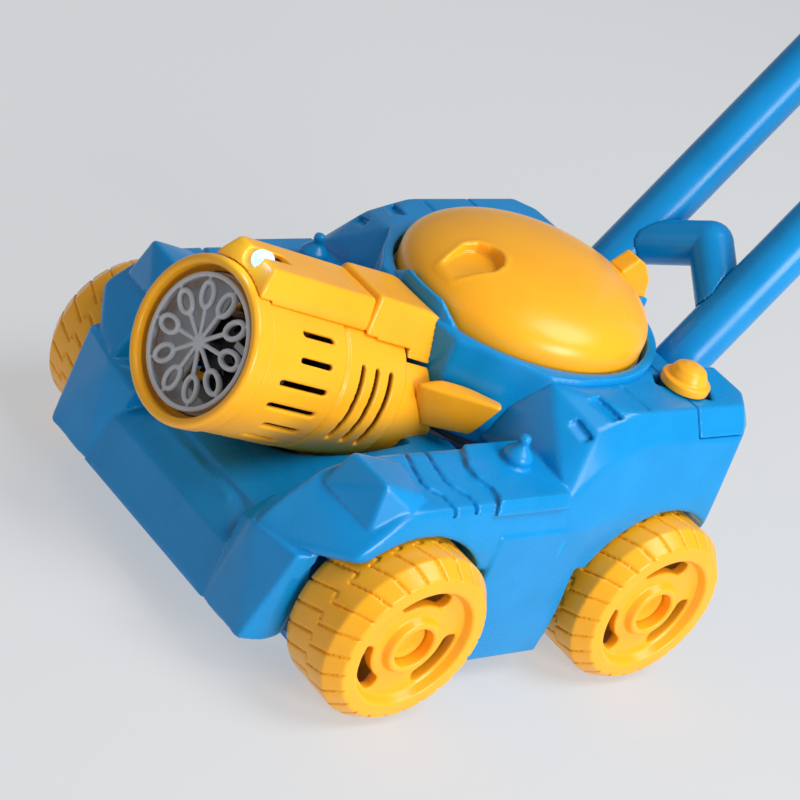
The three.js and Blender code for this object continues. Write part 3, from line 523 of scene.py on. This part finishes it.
def wells(at, radius, inner):
    """The space round the wheels of one side."""
    x, y, z = at
    space = None
    for centre, low, high, top in ((-AXLE_Y, -AXLE_Y - radius - 1.6, -AXLE_Y, 0.3),
                                   (AXLE_Y, AXLE_Y, AXLE_Y + radius + 6, 0.6)):
        round_part = np.sqrt((y - centre) ** 2 + (z - WHEEL_R) ** 2) - radius
        straight = smax(slab(y, low, high), z - WHEEL_R - radius * top)
        part = smin(round_part, straight, 1.0)
        space = part if space is None else np.minimum(space, part)
    return smax(space, inner - x, 0.5)


def louvre(corners):
    """The wedge cut away behind a louvre: flush at its front edge and deepest at its rear edge."""
    a, b, c, d = [Vector(p) for p in corners]
    n = (b - a).cross(d - a).normalized()
    if n.z < 0:
        n = -n
    return [a + n * 3, b + n * 3, c + n * 3, d + n * 3, a - n * 0.2, b - n * 0.2, c - n * 3.2, d - n * 3.2]


def body_field(block):
    """Everything of the body that is the same on both sides, on the left half."""
    at = block.points()
    x, y, z = at
    field = hull(at, FENDER, 3.0)
    field = smin(field, hull(at, LAMP, 1.0), 0.6)
    for points, soft in ((CHEEK, 1.0), (PANEL, 1.0), (PLATE, 0.8), (SILL, 1.0), (TAIL, 0.9), (HOOD, 1.2)):
        field = smin(field, hull(at, points, soft), 0.4)
    field = cut(field, wells(at, 44.6, 83.5), soft=1.2)
    field = smin(field, smax(hull(at, PAD, 1.0), outline(x, y, PAD_PLAN), 0.4), 0.3)
    radial = np.sqrt((x - STUD_X) ** 2 + (y - STUD_Y) ** 2)
    field = smin(field, outline(radial, z, STUD, 0.5), 0.8)
    for path in GROOVES:
        field = cut(field, smax(polyline(x, y, path, 0.95), smax(-field - 1.9, 90 - z)), soft=0.3)
    field = cut(field, smax(polyline(x, y, DECK_GROOVE, 0.9), DECK_Z - 1.1 - z), soft=0.3)
    for corners in VENTS:
        field = cut(field, hull(at, louvre(corners), 0.3), soft=0.3)
    return field


def make_body():
    step = 1.0
    reach, rear, top = 109, 122, 136
    front, bottom = -134, 8
    field = body_field(Block((0, front, bottom), (reach, rear, top), step))
    full = np.concatenate([field[:0:-1], field], 0)
    block = Block((-reach, front, bottom), (reach, rear, top), step)
    at = block.points()
    x, y, z = at
    full = cut(full, box(at, -77.6, 77.6, -98, 110.5, 0, 57), box(at, -77.6, 77.6, -10, 110.5, 50, 93))
    full = cut(full, box(at, -58, 58, 93, 130, 104, 150), cowl_block(at, -0.9))
    full = cut(full, smax(np.sqrt(x * x + (y - TANK_Y) ** 2) - TANK_HOLE, 70 - z))
    full = cut(full, rod(to_barrel(at), (0, -20, 0), (0, 111, 0), 36.7))
    c, k = math.cos(KNOB_TURN), math.sin(KNOB_TURN)
    across = (x - KNOB_X) * c - (y - KNOB_Y) * k
    along = (x - KNOB_X) * k + (y - KNOB_Y) * c
    full = cut(full, box((across, along, z), -4.5, 4.5, -14, 14, 110, 150, 1.5))
    for side in (-1, 1):
        below_foot = (side * TUBE_X, TUBE_FOOT[0] - 8, TUBE_FOOT[1] - 12.5)
        full = cut(full, rod(at, below_foot, tube_point(side, 90), TUBE_HOLE))
    seam = SEAM_Y - y
    caps = smax(smax(full, seam + SEAM_GAP, 0.5), SEAM_Z + SEAM_GAP - z, 0.5)
    body = smax(full, -np.maximum(seam, SEAM_Z - z), 0.5)
    moulded("body_mould", block, body, BLUE, "toy_body", ["body_shell"])
    for side, tag, short in SIDES:
        half = smax(caps, -side * x)
        moulded(f"deck_cap_{short}", block, half, BLUE, "toy_body", [f"deck_cap_{tag}"])


# ---------------------------------------------------------------- tank cowl and dome
def make_cowl():
    """The cowl round the tank, with the tongue in front and the two ears of the hinge."""
    block = Block((-70, -28, 90), (70, 122, 146), 1.0)
    at = block.points()
    x, y, z = at
    radial = np.sqrt(x * x + (y - TANK_Y) ** 2)
    field = cowl_block(at, 0)
    wedge = outline(x, z, [(-26, 126), (26, 126), (26, 133), (12.5, 142.2), (-12.5, 142.2), (-26, 133)], 1.0)
    tongue = smax(smax(slab(radial, 61.2, 64.4), wedge, 0.8), y, 0.8)
    field = smin(field, tongue, 0.8)
    field = cut(field, smax(radial - 61.2, 126.5 - z), soft=0.7)
    field = cut(field, radial - 57.0)
    field = cut(field, smax(radial - 62.0, 131.2 - z), soft=0.6)
    for side in (-1, 1):
        near, far = sorted((side * 5.6, side * 8.4))
        ear = box(at, near, far, 104, 118, 124, 136, 1.0)
        field = smin(field, ear, 0.5)
        field = cut(field, rod(at, tube_point(side, -10), tube_point(side, 60), TUBE_HOLE))
    moulded("cowl_mould", block, field, BLUE, "toy_body", ["tank_cowl"])


def make_dome():
    """The lid with its finger notch, and the arm of its hinge."""
    block = Block((-63, -22, 127), (63, 105, 164), 1.0)
    at = block.points()
    x, y, z = at
    radial = np.sqrt(x * x + (y - TANK_Y) ** 2)
    outer = ellipsoid(x, y - TANK_Y, z - DOME_Z, DOME_SIZE)
    outer = np.where(z < DOME_Z, radial - DOME_SIZE[0], outer)
    inner = ellipsoid(x, y - TANK_Y, z - DOME_Z, [s - LID_WALL for s in DOME_SIZE])
    inner = np.where(z < DOME_Z, radial - DOME_SIZE[0] + LID_WALL, inner)
    plan = [(-5, -12), (5, -12), (11, 5), (9, 11), (4, 14.8), (0, 15.6), (-4, 14.8), (-9, 11), (-11, 5)]
    pocket = smax(outline(x, y, plan, 1.5), 150.9 + 0.16 * y - z, 0.8)
    liner = smax(smax(outline(x, y, plan) - LID_WALL, 147.2 - z), outer)
    shell = smin(smax(outer, -inner, 0.6), liner, 1.0)
    field = smax(cut(shell, pocket, soft=0.9), 130 - z, 0.8)
    field = cut(field, box(at, -6.2, 6.2, 93, 125, 120, 145))
    moulded("dome_mould", block, field, YELLOW, "lid", ["dome_lid"])

    block = Block((-7, 88, 122), (7, 123, 160), 0.7)
    at = block.points()
    x, y, z = at
    arm = [(95, 144), (95.6, 149.5), (104, 156), (110, 153), (117, 144.5), (119, 136), (118.4, 129),
           (114.5, 126.4), (110.5, 128), (108.5, 135), (99, 139)]
    field = smax(outline(y, z, arm, 0.8), np.abs(x) - 5, 1.4)
    radial = np.sqrt(x * x + (y - TANK_Y) ** 2)
    grown = ellipsoid(x, y - TANK_Y, z - DOME_Z, [s + 0.3 for s in DOME_SIZE])
    field = cut(field, np.where(z < DOME_Z, radial - DOME_SIZE[0] - 0.3, grown), soft=0.3)
    field = cut(field, rod(at, (-20, *LID_PIN), (20, *LID_PIN), 1.35))
    moulded("hinge_arm_mould", block, field, YELLOW, "lid", ["lid_hinge_arm"])


# ---------------------------------------------------------------- wheels
# Outlines of a wheel and a hub cap, as radius and distance from the inner face.
TYRE = [(2.3, 2), (8, 2), (8, 27), (33, 27), (34.5, 1), (41, 1), (42, 4), (42, 29), (36.5, 36.6), (29.5, 37),
        (27.6, 32.6), (14.6, 32.6), (12.8, 36.4), (9.8, 36.4), (9.8, 26), (2.3, 26)]
TREAD_BLOCKS = 24
HUB_CAP = [(0, 0), (9.2, 0), (9.2, 1.8), (8.2, 1.8), (6.4, 0.9), (0, 0.9)]
HUB_CAP_X = 114.1


def wheel_mesh():
    """One wheel about the X axis, inner face at 0, with tread blocks and three kidney slots."""
    block = Block((-1.6, -43.6, -43.6), (38.6, 43.6, 43.6), 0.72)
    x, y, z = block.points()
    r = np.sqrt(y * y + z * z)
    angle = np.arctan2(z, y)
    whole = outline(r, x, TYRE, 0.9)
    pitch = 2 * math.pi / TREAD_BLOCKS

    def row(shift, lean):
        turned = angle + shift + lean * (x - 20) / 42
        return np.abs((turned / pitch) % 1 - 0.5) * pitch * r

    outer = smax(row(0, 0.35) - 0.45, 17.5 - x)
    inner = smax(row(pitch / 2, 0.35) - 0.45, x - 17.5)
    groove = smax(smax(np.minimum(outer, inner), -whole - 1.3), 35.4 - r)
    marks = smax(smax(row(pitch / 4, 0) - 1.3, np.abs(x - 17.5) - 0.45), -whole - 0.9)
    field = cut(whole, groove, smax(marks, 39 - r), soft=0.35)
    for k in range(3):
        middle = math.radians(90 + 120 * k)
        swing = np.abs((angle - middle + math.pi) % (2 * math.pi) - math.pi)
        along = (swing - math.radians(33)) * r
        kidney = smax(slab(r, 19.5, 26.4), along, 3.2)
        field = cut(field, smax(kidney, 20 - x), soft=0.9)
    return without_crumbs(*skin(block, field))


def make_wheels():
    points, faces = wheel_mesh()
    for side, tag, short in SIDES:
        for end, y in (("front", -AXLE_Y), ("rear", AXLE_Y)):
            placed = (points + [WHEEL_IN, 0, 0]) * [side, 1, 1] + [0, y, WHEEL_R]
            piece(f"tread_wheel_{end}_{short}", placed, faces, YELLOW, f"wheel_{end[0]}{tag[0]}",
                  [f"wheel_{end}_{tag}"])
            cap, cap_faces = lathe(rounded(HUB_CAP, 0.4, 3), 48)
            cap = aimed(cap, (side * HUB_CAP_X, y, WHEEL_R), (side * (HUB_CAP_X + 10), y, WHEEL_R))
            weld(piece(f"hub_cap_{end}_{short}", cap, cap_faces, YELLOW, "toy_body",
                       [f"axle_cap_{end}_{tag}"]))


# ---------------------------------------------------------------- barrel
# Each slot in the side: angle from the top in degrees, and its ends along the axis.
SIDE_SLOTS = [(42, 26, 46), (60.5, 26, 46), (78.5, 17.5, 47), (96, 17.5, 47), (113.5, 25, 47), (131, 25, 45)]
SIDE_SLOT_HALF = 1.25
# Places of the slots round the barrel along the axis, their middle angle and half their spread.
ARC_SLOTS = [66, 75.3, 84.6]
ARC_SLOT_HALF = 1.4
ARC_MIDDLE, ARC_SPREAD = math.radians(83), math.radians(31)


def barrel_block(low, high, step):
    """A block in barrel space, its points and their distance from the axis."""
    block = Block(low, high, step)
    x, s, h = block.points()
    return block, (x, s, h), np.sqrt(x * x + h * h)


def barrel_piece(name, block, field, material, nodes, body="toy_body"):
    """A piece whose distance field is worked out in barrel space."""
    points, faces = without_crumbs(*skin(block, field))
    return piece(name, off_barrel(points), faces, material, body, nodes)


def drawing_of(at):
    """Drawing-frame coordinates of points in barrel space."""
    x, s, h = at
    c, k = math.cos(PITCH), math.sin(PITCH)
    return x + NOSE[0], s * c + h * k + NOSE[1], -s * k + h * c + NOSE[2]


def make_barrel():
    block, at, r = barrel_block((-38.6, -6, -38.6), (38.6, 12.6, 38.6), 0.8)
    ring = [(32.6, -2.8), (33.6, -4), (35.6, -4), (37, -2.4), (37, 6.2), (33, 6.2), (33, 11), (31, 11),
            (31, 5), (32.6, 4.2)]
    barrel_piece("barrel_ring_mould", block, outline(r, at[1], ring, 0.4), YELLOW, ["barrel_ring"])

    block, at, r = barrel_block((-38, 5, -38), (38, 97, 38), 0.85)
    x, s, h = at
    wall = [(33.4, 6.5), (36, 6.5), (35.8, 54), (34.5, 54.5), (34.5, 56), (35.4, 56.5), (35.2, 95),
            (32.6, 95), (32.6, 60), (33.4, 54)]
    field = outline(r, s, wall, 0.4)
    for angle, s0, s1 in SIDE_SLOTS:
        a = math.radians(angle)
        across = np.abs(x) * math.cos(a) - h * math.sin(a)
        out = np.abs(x) * math.sin(a) + h * math.cos(a)
        qx, qs = np.abs(across), np.abs(s - (s0 + s1) / 2) - (s1 - s0) / 2 + SIDE_SLOT_HALF
        stadium = np.sqrt(qx * qx + np.maximum(qs, 0) ** 2) - SIDE_SLOT_HALF
        field = cut(field, smax(stadium, 24 - out), soft=0.5)
    angle = np.arctan2(np.abs(x), h)
    for middle in ARC_SLOTS:
        along = (np.abs(angle - ARC_MIDDLE) - ARC_SPREAD) * r + ARC_SLOT_HALF
        stadium = np.sqrt((s - middle) ** 2 + np.maximum(along, 0) ** 2) - ARC_SLOT_HALF
        field = cut(field, stadium, soft=0.5)
    barrel_piece("barrel_mould", block, field, YELLOW, ["barrel_shell"])

    block, at, r = barrel_block((-36, 93, -36), (36, 127, 36), 0.85)
    x, s, h = at
    back = [(0, 95.3), (33.6, 95.3), (33.6, 124), (31.2, 124), (31.2, 98), (0, 98)]
    field = outline(r, s, back, 0.4)
    field = cut(field, cowl_block(drawing_of(at), 0), box(at, -3.5, 3.5, 90, 100, -24, -13))
    field = smax(field, np.minimum(s - 110, -6 - h), 0.6)
    field = cut(field, box(at, -21.4, 21.4, 60, 130, 20, 60))
    barrel_piece("collar_mould", block, field, YELLOW, ["barrel_collar"])

    crest = both_sides([(13.2, 2, 46), (17.6, -1.5, 34.5), (17.6, 67.4, 34.5), (13.2, 67.4, 46),
                        (16, -1.5, 20), (16, 67.4, 20)])
    block, at, r = barrel_block((-22, -4, 24), (22, 71, 49), 0.7)
    x, s, h = at
    field = hull(at, crest, 1.6)
    lamp_hole = rod(at, (0, -20, 44.9), (0, 20, 41.8), 4.9)
    field = cut(field, r - 36.3, smax(r - 37.3, s - 6.8), lamp_hole, soft=0.4)
    field = cut(field, box(at, -11, 11, 17, 64, 20, 43.4))
    barrel_piece("ridge_mould", block, field, YELLOW, ["barrel_ridge"])

    cover = both_sides([(14.2, 68, 48.4), (16, 103, 48.4), (18.6, 70, 30), (21, 66, 26), (22.5, 121, 22),
                        (18, 116, 44), (19, 66, 20), (21, 121, 16)])
    block, at, r = barrel_block((-24, 63, 13), (24, 124, 51), 0.75)
    x, s, h = at
    dx, dy, dz = drawing_of(at)
    field = hull(at, cover, 1.8)
    field = cut(field, smax(r - 36.3, s - 96), r - 33.9, cowl_block((dx, dy, dz), 0), soft=0.4)
    field = cut(field, smax(np.sqrt(dx * dx + (dy - TANK_Y) ** 2) - 64.7, 130 - dz), soft=0.4)
    field = cut(field, box(at, -12, 12, 72, 100, 20, 45))
    barrel_piece("ridge_box_mould", block, field, YELLOW, ["ridge_box"])

    wing = [(33, 99, 21.4), (33, 113, 2.6), (52, 124, 12.7), (59.5, 124, 32.5), (33, 108, 27.1), (30, 99, 20),
            (30, 112, 3), (54, 128, 32.5), (40, 119, 30), (46, 129, 12)]
    for side, tag, short in SIDES:
        span = (28, 62) if side > 0 else (-62, -28)
        block, at, r = barrel_block((span[0], 94, -2), (span[1], 133, 36), 0.7)
        field = hull(at, [(side * a, b, c) for a, b, c in wing], 1.4)
        field = cut(field, r - 33.6, cowl_block(drawing_of(at), 0), soft=0.4)
        barrel_piece(f"fin_{short}", block, field, YELLOW, [f"barrel_fin_{tag}"])


def make_wand():
    """The disc of bubble loops with its hub, and the tray behind it."""
    block, at, r = barrel_block((-31, -2.4, -31), (31, 6, 31), 0.42)
    x, s, h = at
    field = outline(r, s, [(27.4, -0.6), (29.6, -0.6), (29.6, 4), (27.9, 4)], 0.4)
    hub = smax(r - 3.0, slab(s, 0, 4.4), 0.8)
    field = smin(field, hub, 0.4)
    for k in range(WAND_LOOPS):
        a = math.radians(WAND_TURN + 360 / WAND_LOOPS * k)
        across = x * math.cos(a) - h * math.sin(a)
        out = x * math.sin(a) + h * math.cos(a)
        u, v = across / LOOP_HALF[0], (out - LOOP_OUT) / LOOP_HALF[1]
        share = np.sqrt(u * u + v * v)
        slope = np.sqrt((u / LOOP_HALF[0]) ** 2 + (v / LOOP_HALF[1]) ** 2)
        oval = share * (share - 1) / np.maximum(slope, 1e-4)
        loop = np.sqrt(oval * oval + ((s - 1.2) * 0.8) ** 2) - 1.2
        spoke = np.sqrt(across ** 2 + (s - 1.2) ** 2) - 1.05
        spoke = smax(spoke, slab(out, 0, 14.4))
        link = smax(np.sqrt(across ** 2 + (s - 1.2) ** 2) - 0.85, slab(out, 25.4, 28.4))
        field = smin(field, smin(loop, np.minimum(spoke, link), 0.5), 0.5)
    field = cut(field, rod(at, (0, 2.4, 0), (0, 8, 0), 1.62), soft=0.2)
    barrel_piece("wand_mould", block, field, GREY, ["wand_disc"], "wand")

    block, at, r = barrel_block((-32, 5.4, -32), (32, 20.6, 32), 0.6)
    x, s, h = at
    bowl = smax(smax(slab(r, 20, 30.6), slab(s, 6.4, 19.6), 0.4), h + 19.5, 0.4)
    bowl = cut(bowl, smax(smax(slab(r, 22, 29), slab(s, 8, 18)), h + 21.5))
    plate = smax(smax(r - 30.6, slab(s, 6.4, 8.0), 0.4), x + 2, 0.4)
    field = smin(bowl, plate, 0.3)
    barrel_piece("tray_mould", block, field, GREY, ["solution_tray"], "toy_body")


# ---------------------------------------------------------------- handle and knob
def tube_mesh(start, end, outer, inner, name, material, nodes):
    length = (Vector(end) - Vector(start)).length
    profile = rounded([(inner, 0), (outer, 0), (outer, 2), (outer, length - 2), (outer, length),
                       (inner, length), (inner, length - 2), (inner, 2)], 0.5, 3)
    points, faces = lathe(profile, 64)
    return piece(name, aimed(points, start, end), faces, material, "toy_body", nodes)


def sweep(points, normal, outer, inner):
    """A round pipe along a run of points in one plane."""
    segments = 48
    v = [Vector(p) for p in points]
    rings, faces = [], []
    for i, p in enumerate(v):
        before = (p - v[i - 1]).normalized() if i else None
        after = (v[i + 1] - p).normalized() if i < len(v) - 1 else None
        way = ((before + after) if before and after else (before or after)).normalized()
        side = way.cross(normal)
        for r in (outer, inner):
            for k in range(segments):
                t = 2 * math.pi * k / segments
                rings.append(p + side * (r * math.cos(t)) + normal * (r * math.sin(t)))
    last = len(v) - 1

    def at(i, layer, k):
        return (i * 2 + layer) * segments + k % segments

    for i in range(last):
        for k in range(segments):
            faces.append((at(i, 0, k), at(i, 0, k + 1), at(i + 1, 0, k + 1), at(i + 1, 0, k)))
            faces.append((at(i, 1, k + 1), at(i, 1, k), at(i + 1, 1, k), at(i + 1, 1, k + 1)))
    for k in range(segments):
        faces.append((at(0, 0, k + 1), at(0, 0, k), at(0, 1, k), at(0, 1, k + 1)))
        faces.append((at(last, 0, k), at(last, 0, k + 1), at(last, 1, k + 1), at(last, 1, k)))
    return np.array([tuple(p) for p in rings]), faces


def make_handle():
    """The two tubes, the bow that joins them, its ribbed grip and the brace between the tubes."""
    for side, tag, short in SIDES:
        tube_mesh(tube_point(side, 0), tube_point(side, TUBE_SPLIT), TUBE_R, TUBE_R - TUBE_WALL,
                  f"tube_{short}", BLUE, [f"handle_tube_{tag}"])
    run = []
    for side in (-1, 1):
        arc = []
        for i in range(13):
            t = (i / 12) * math.pi / 2
            p = tube_point(side, REACH - BOW_CORNER + BOW_CORNER * math.sin(t))
            arc.append((side * (TUBE_X - BOW_CORNER + BOW_CORNER * math.cos(t)), p[1], p[2]))
        run.extend(arc if side < 0 else arc[::-1])
    ends = (TUBE_SPLIT + 0.3, TUBE_SPLIT + 0.6, TUBE_SPLIT + 2)
    run = [*[tube_point(-1, e) for e in ends], *run, *[tube_point(1, e) for e in ends[::-1]]]
    normal = Vector((0, -math.sin(TUBE_TILT), math.cos(TUBE_TILT)))
    points, faces = sweep(run, normal, TUBE_R, TUBE_R - TUBE_WALL)
    piece("bow", points, faces, BLUE, "toy_body", ["handle_bow"])

    apex = tube_point(1, REACH)
    ribs = [(TUBE_R + 0.2, 0)]
    for i in range(GRIP_RIBS):
        base = 0.6 + i * GRIP_PITCH
        ribs += [(TUBE_R + 1.5, base), (TUBE_R + 2.4, base + 0.7), (TUBE_R + 2.4, base + 1.5),
                 (TUBE_R + 1.5, base + 2.2)]
    ribs += [(TUBE_R + 0.2, 2 * GRIP_HALF)]
    points, faces = lathe(ribs, 64)
    placed = aimed(points, (-GRIP_HALF, apex[1], apex[2]), (GRIP_HALF, apex[1], apex[2]))
    piece("grip_mould", placed, faces, YELLOW, "toy_body", ["grip_sleeve"])

    block = Block((-36, 126, 124), (36, 172, 178), 0.9)
    at = block.points()
    low = [tube_point(side, 81) for side in (1, -1)]
    top = (0, *tube_point(1, 105.2)[1:])
    field = smin(rod(at, low[0], top, BRACE_R, 0), rod(at, low[1], top, BRACE_R, 0), 0)
    x, y, z = at
    knee = np.sqrt(x * x + (y - top[1]) ** 2 + (z - top[2]) ** 2) - BRACE_R
    field = smin(field, knee, 0.4)
    for side in (1, -1):
        field = cut(field, rod(at, tube_point(side, 30), tube_point(side, 140), TUBE_R + 0.15), soft=0.3)
    moulded("brace_mould", block, field, BLUE, "toy_body", ["handle_brace"])


def make_knob():
    profile = rounded([(0, 144.2), (3.6, 143.8), (7.2, 142), (9.0, 138.6), (9.2, 137.2), (11.6, 136.4),
                       (11.6, 132.4), (3.2, 132.4), (3.2, 121), (0, 121)], 0.7, 3)
    points, faces = lathe(profile, 64)
    placed = points + [KNOB_X, KNOB_Y, 0]
    weld(piece("knob_mould", placed, faces, YELLOW, "knob", ["power_knob"]))


def make_lamp():
    """The lit lens in the front of the ridge, and the light that it throws."""
    m = bpy.data.materials.new("lit_lens")
    m.use_nodes = True
    shader = m.node_tree.nodes["Principled BSDF"]
    shader.inputs["Base Color"].default_value = (0.30, 0.50, 0.95, 1)
    shader.inputs["Roughness"].default_value = 0.08
    shader.inputs["Emission Color"].default_value = (0.45, 0.66, 1.0, 1)
    shader.inputs["Emission Strength"].default_value = 1.1
    profile = rounded([(0, 0), (4.4, 0), (4.4, 4), (3.6, 6.2), (2, 7.4), (0, 7.8)], 0.8, 4)
    points, faces = lathe(profile, 48)
    start, end = off_barrel([(0, 10, 42.6), (0, -3, 43.6)])
    weld(piece("lamp_glow", aimed(points, start, end), faces, m, "toy_body", ["led_lamp"]))
    glow = bpy.data.lights.new("lamp_spill", "POINT")
    glow.energy = 0.012
    glow.color = (0.35, 0.6, 1.0)
    glow.shadow_soft_size = 0.004
    spill = bpy.data.objects.new("lamp_spill", glow)
    bpy.context.scene.collection.objects.link(spill)
    spill.location = in_row(off_barrel([(0, -9, 50)]))[0]


# ---------------------------------------------------------------- camera, floor and light
CAMERA_PLACE = (0.7201, -0.9475, 0.6348)       # metres
CAMERA_TURN = (60.812, -20.5175, 52.82)        # degrees about X, Y and Z
LENS = 120.91                                  # millimetres, for a sensor 36 wide
FLOOR_HALF = 6                                 # metres


def make_view():
    data = bpy.data.cameras.new("view")
    data.sensor_width = 36
    data.lens = LENS
    data.clip_end = 50
    cam = bpy.data.objects.new("view", data)
    bpy.context.scene.collection.objects.link(cam)
    cam.location = CAMERA_PLACE
    cam.rotation_euler = [math.radians(v) for v in CAMERA_TURN]
    bpy.context.scene.camera = cam


def make_stage():
    mesh = bpy.data.meshes.new("floor")
    corners = [(x * FLOOR_HALF, y * FLOOR_HALF, 0) for x, y in ((-1, -1), (1, -1), (1, 1), (-1, 1))]
    mesh.from_pydata(corners, [], [(0, 1, 2, 3)])
    floor = bpy.data.objects.new("floor", mesh)
    bpy.context.scene.collection.objects.link(floor)
    m = bpy.data.materials.new("studio_floor")
    m.use_nodes = True
    shader = m.node_tree.nodes["Principled BSDF"]
    shader.inputs["Base Color"].default_value = (0.27, 0.275, 0.28, 1)
    shader.inputs["Roughness"].default_value = 0.9
    shader.inputs["Specular IOR Level"].default_value = 0.1
    shader.inputs["Emission Color"].default_value = (0.96, 0.98, 1.0, 1)
    shader.inputs["Emission Strength"].default_value = 0.46
    mesh.materials.append(m)
    world = bpy.data.worlds.new("studio")
    world.use_nodes = True
    world.node_tree.nodes["Background"].inputs["Color"].default_value = (0.9, 0.93, 1.0, 1)
    world.node_tree.nodes["Background"].inputs["Strength"].default_value = 0.3
    bpy.context.scene.world = world


def lamp(name, place, target, size, power):
    """A round studio lamp, with its size in metres and its power in watts."""
    data = bpy.data.lights.new(name, "AREA")
    data.shape = "DISK"
    data.size = size
    data.energy = power
    obj = bpy.data.objects.new(name, data)
    bpy.context.scene.collection.objects.link(obj)
    obj.location = place
    obj.rotation_euler = (Vector(target) - Vector(place)).to_track_quat("-Z", "Y").to_euler()


bpy.context.scene.view_settings.view_transform = "Standard"
make_view()
make_stage()
lamp("key", (0.7, 0.3, 1.5), (0, -0.1, 0.1), 1.0, 17)
lamp("side", (1.9, -0.1, 0.7), (0, -0.1, 0.1), 1.0, 29)
lamp("front", (-0.5, -1.7, 0.9), (0, -0.15, 0.1), 1.0, 1.2)
dress_nodes()
make_body()
make_cowl()
make_dome()
make_wheels()
make_barrel()
make_wand()
make_handle()
make_knob()
make_lamp()

bpy.context.view_layer.update()
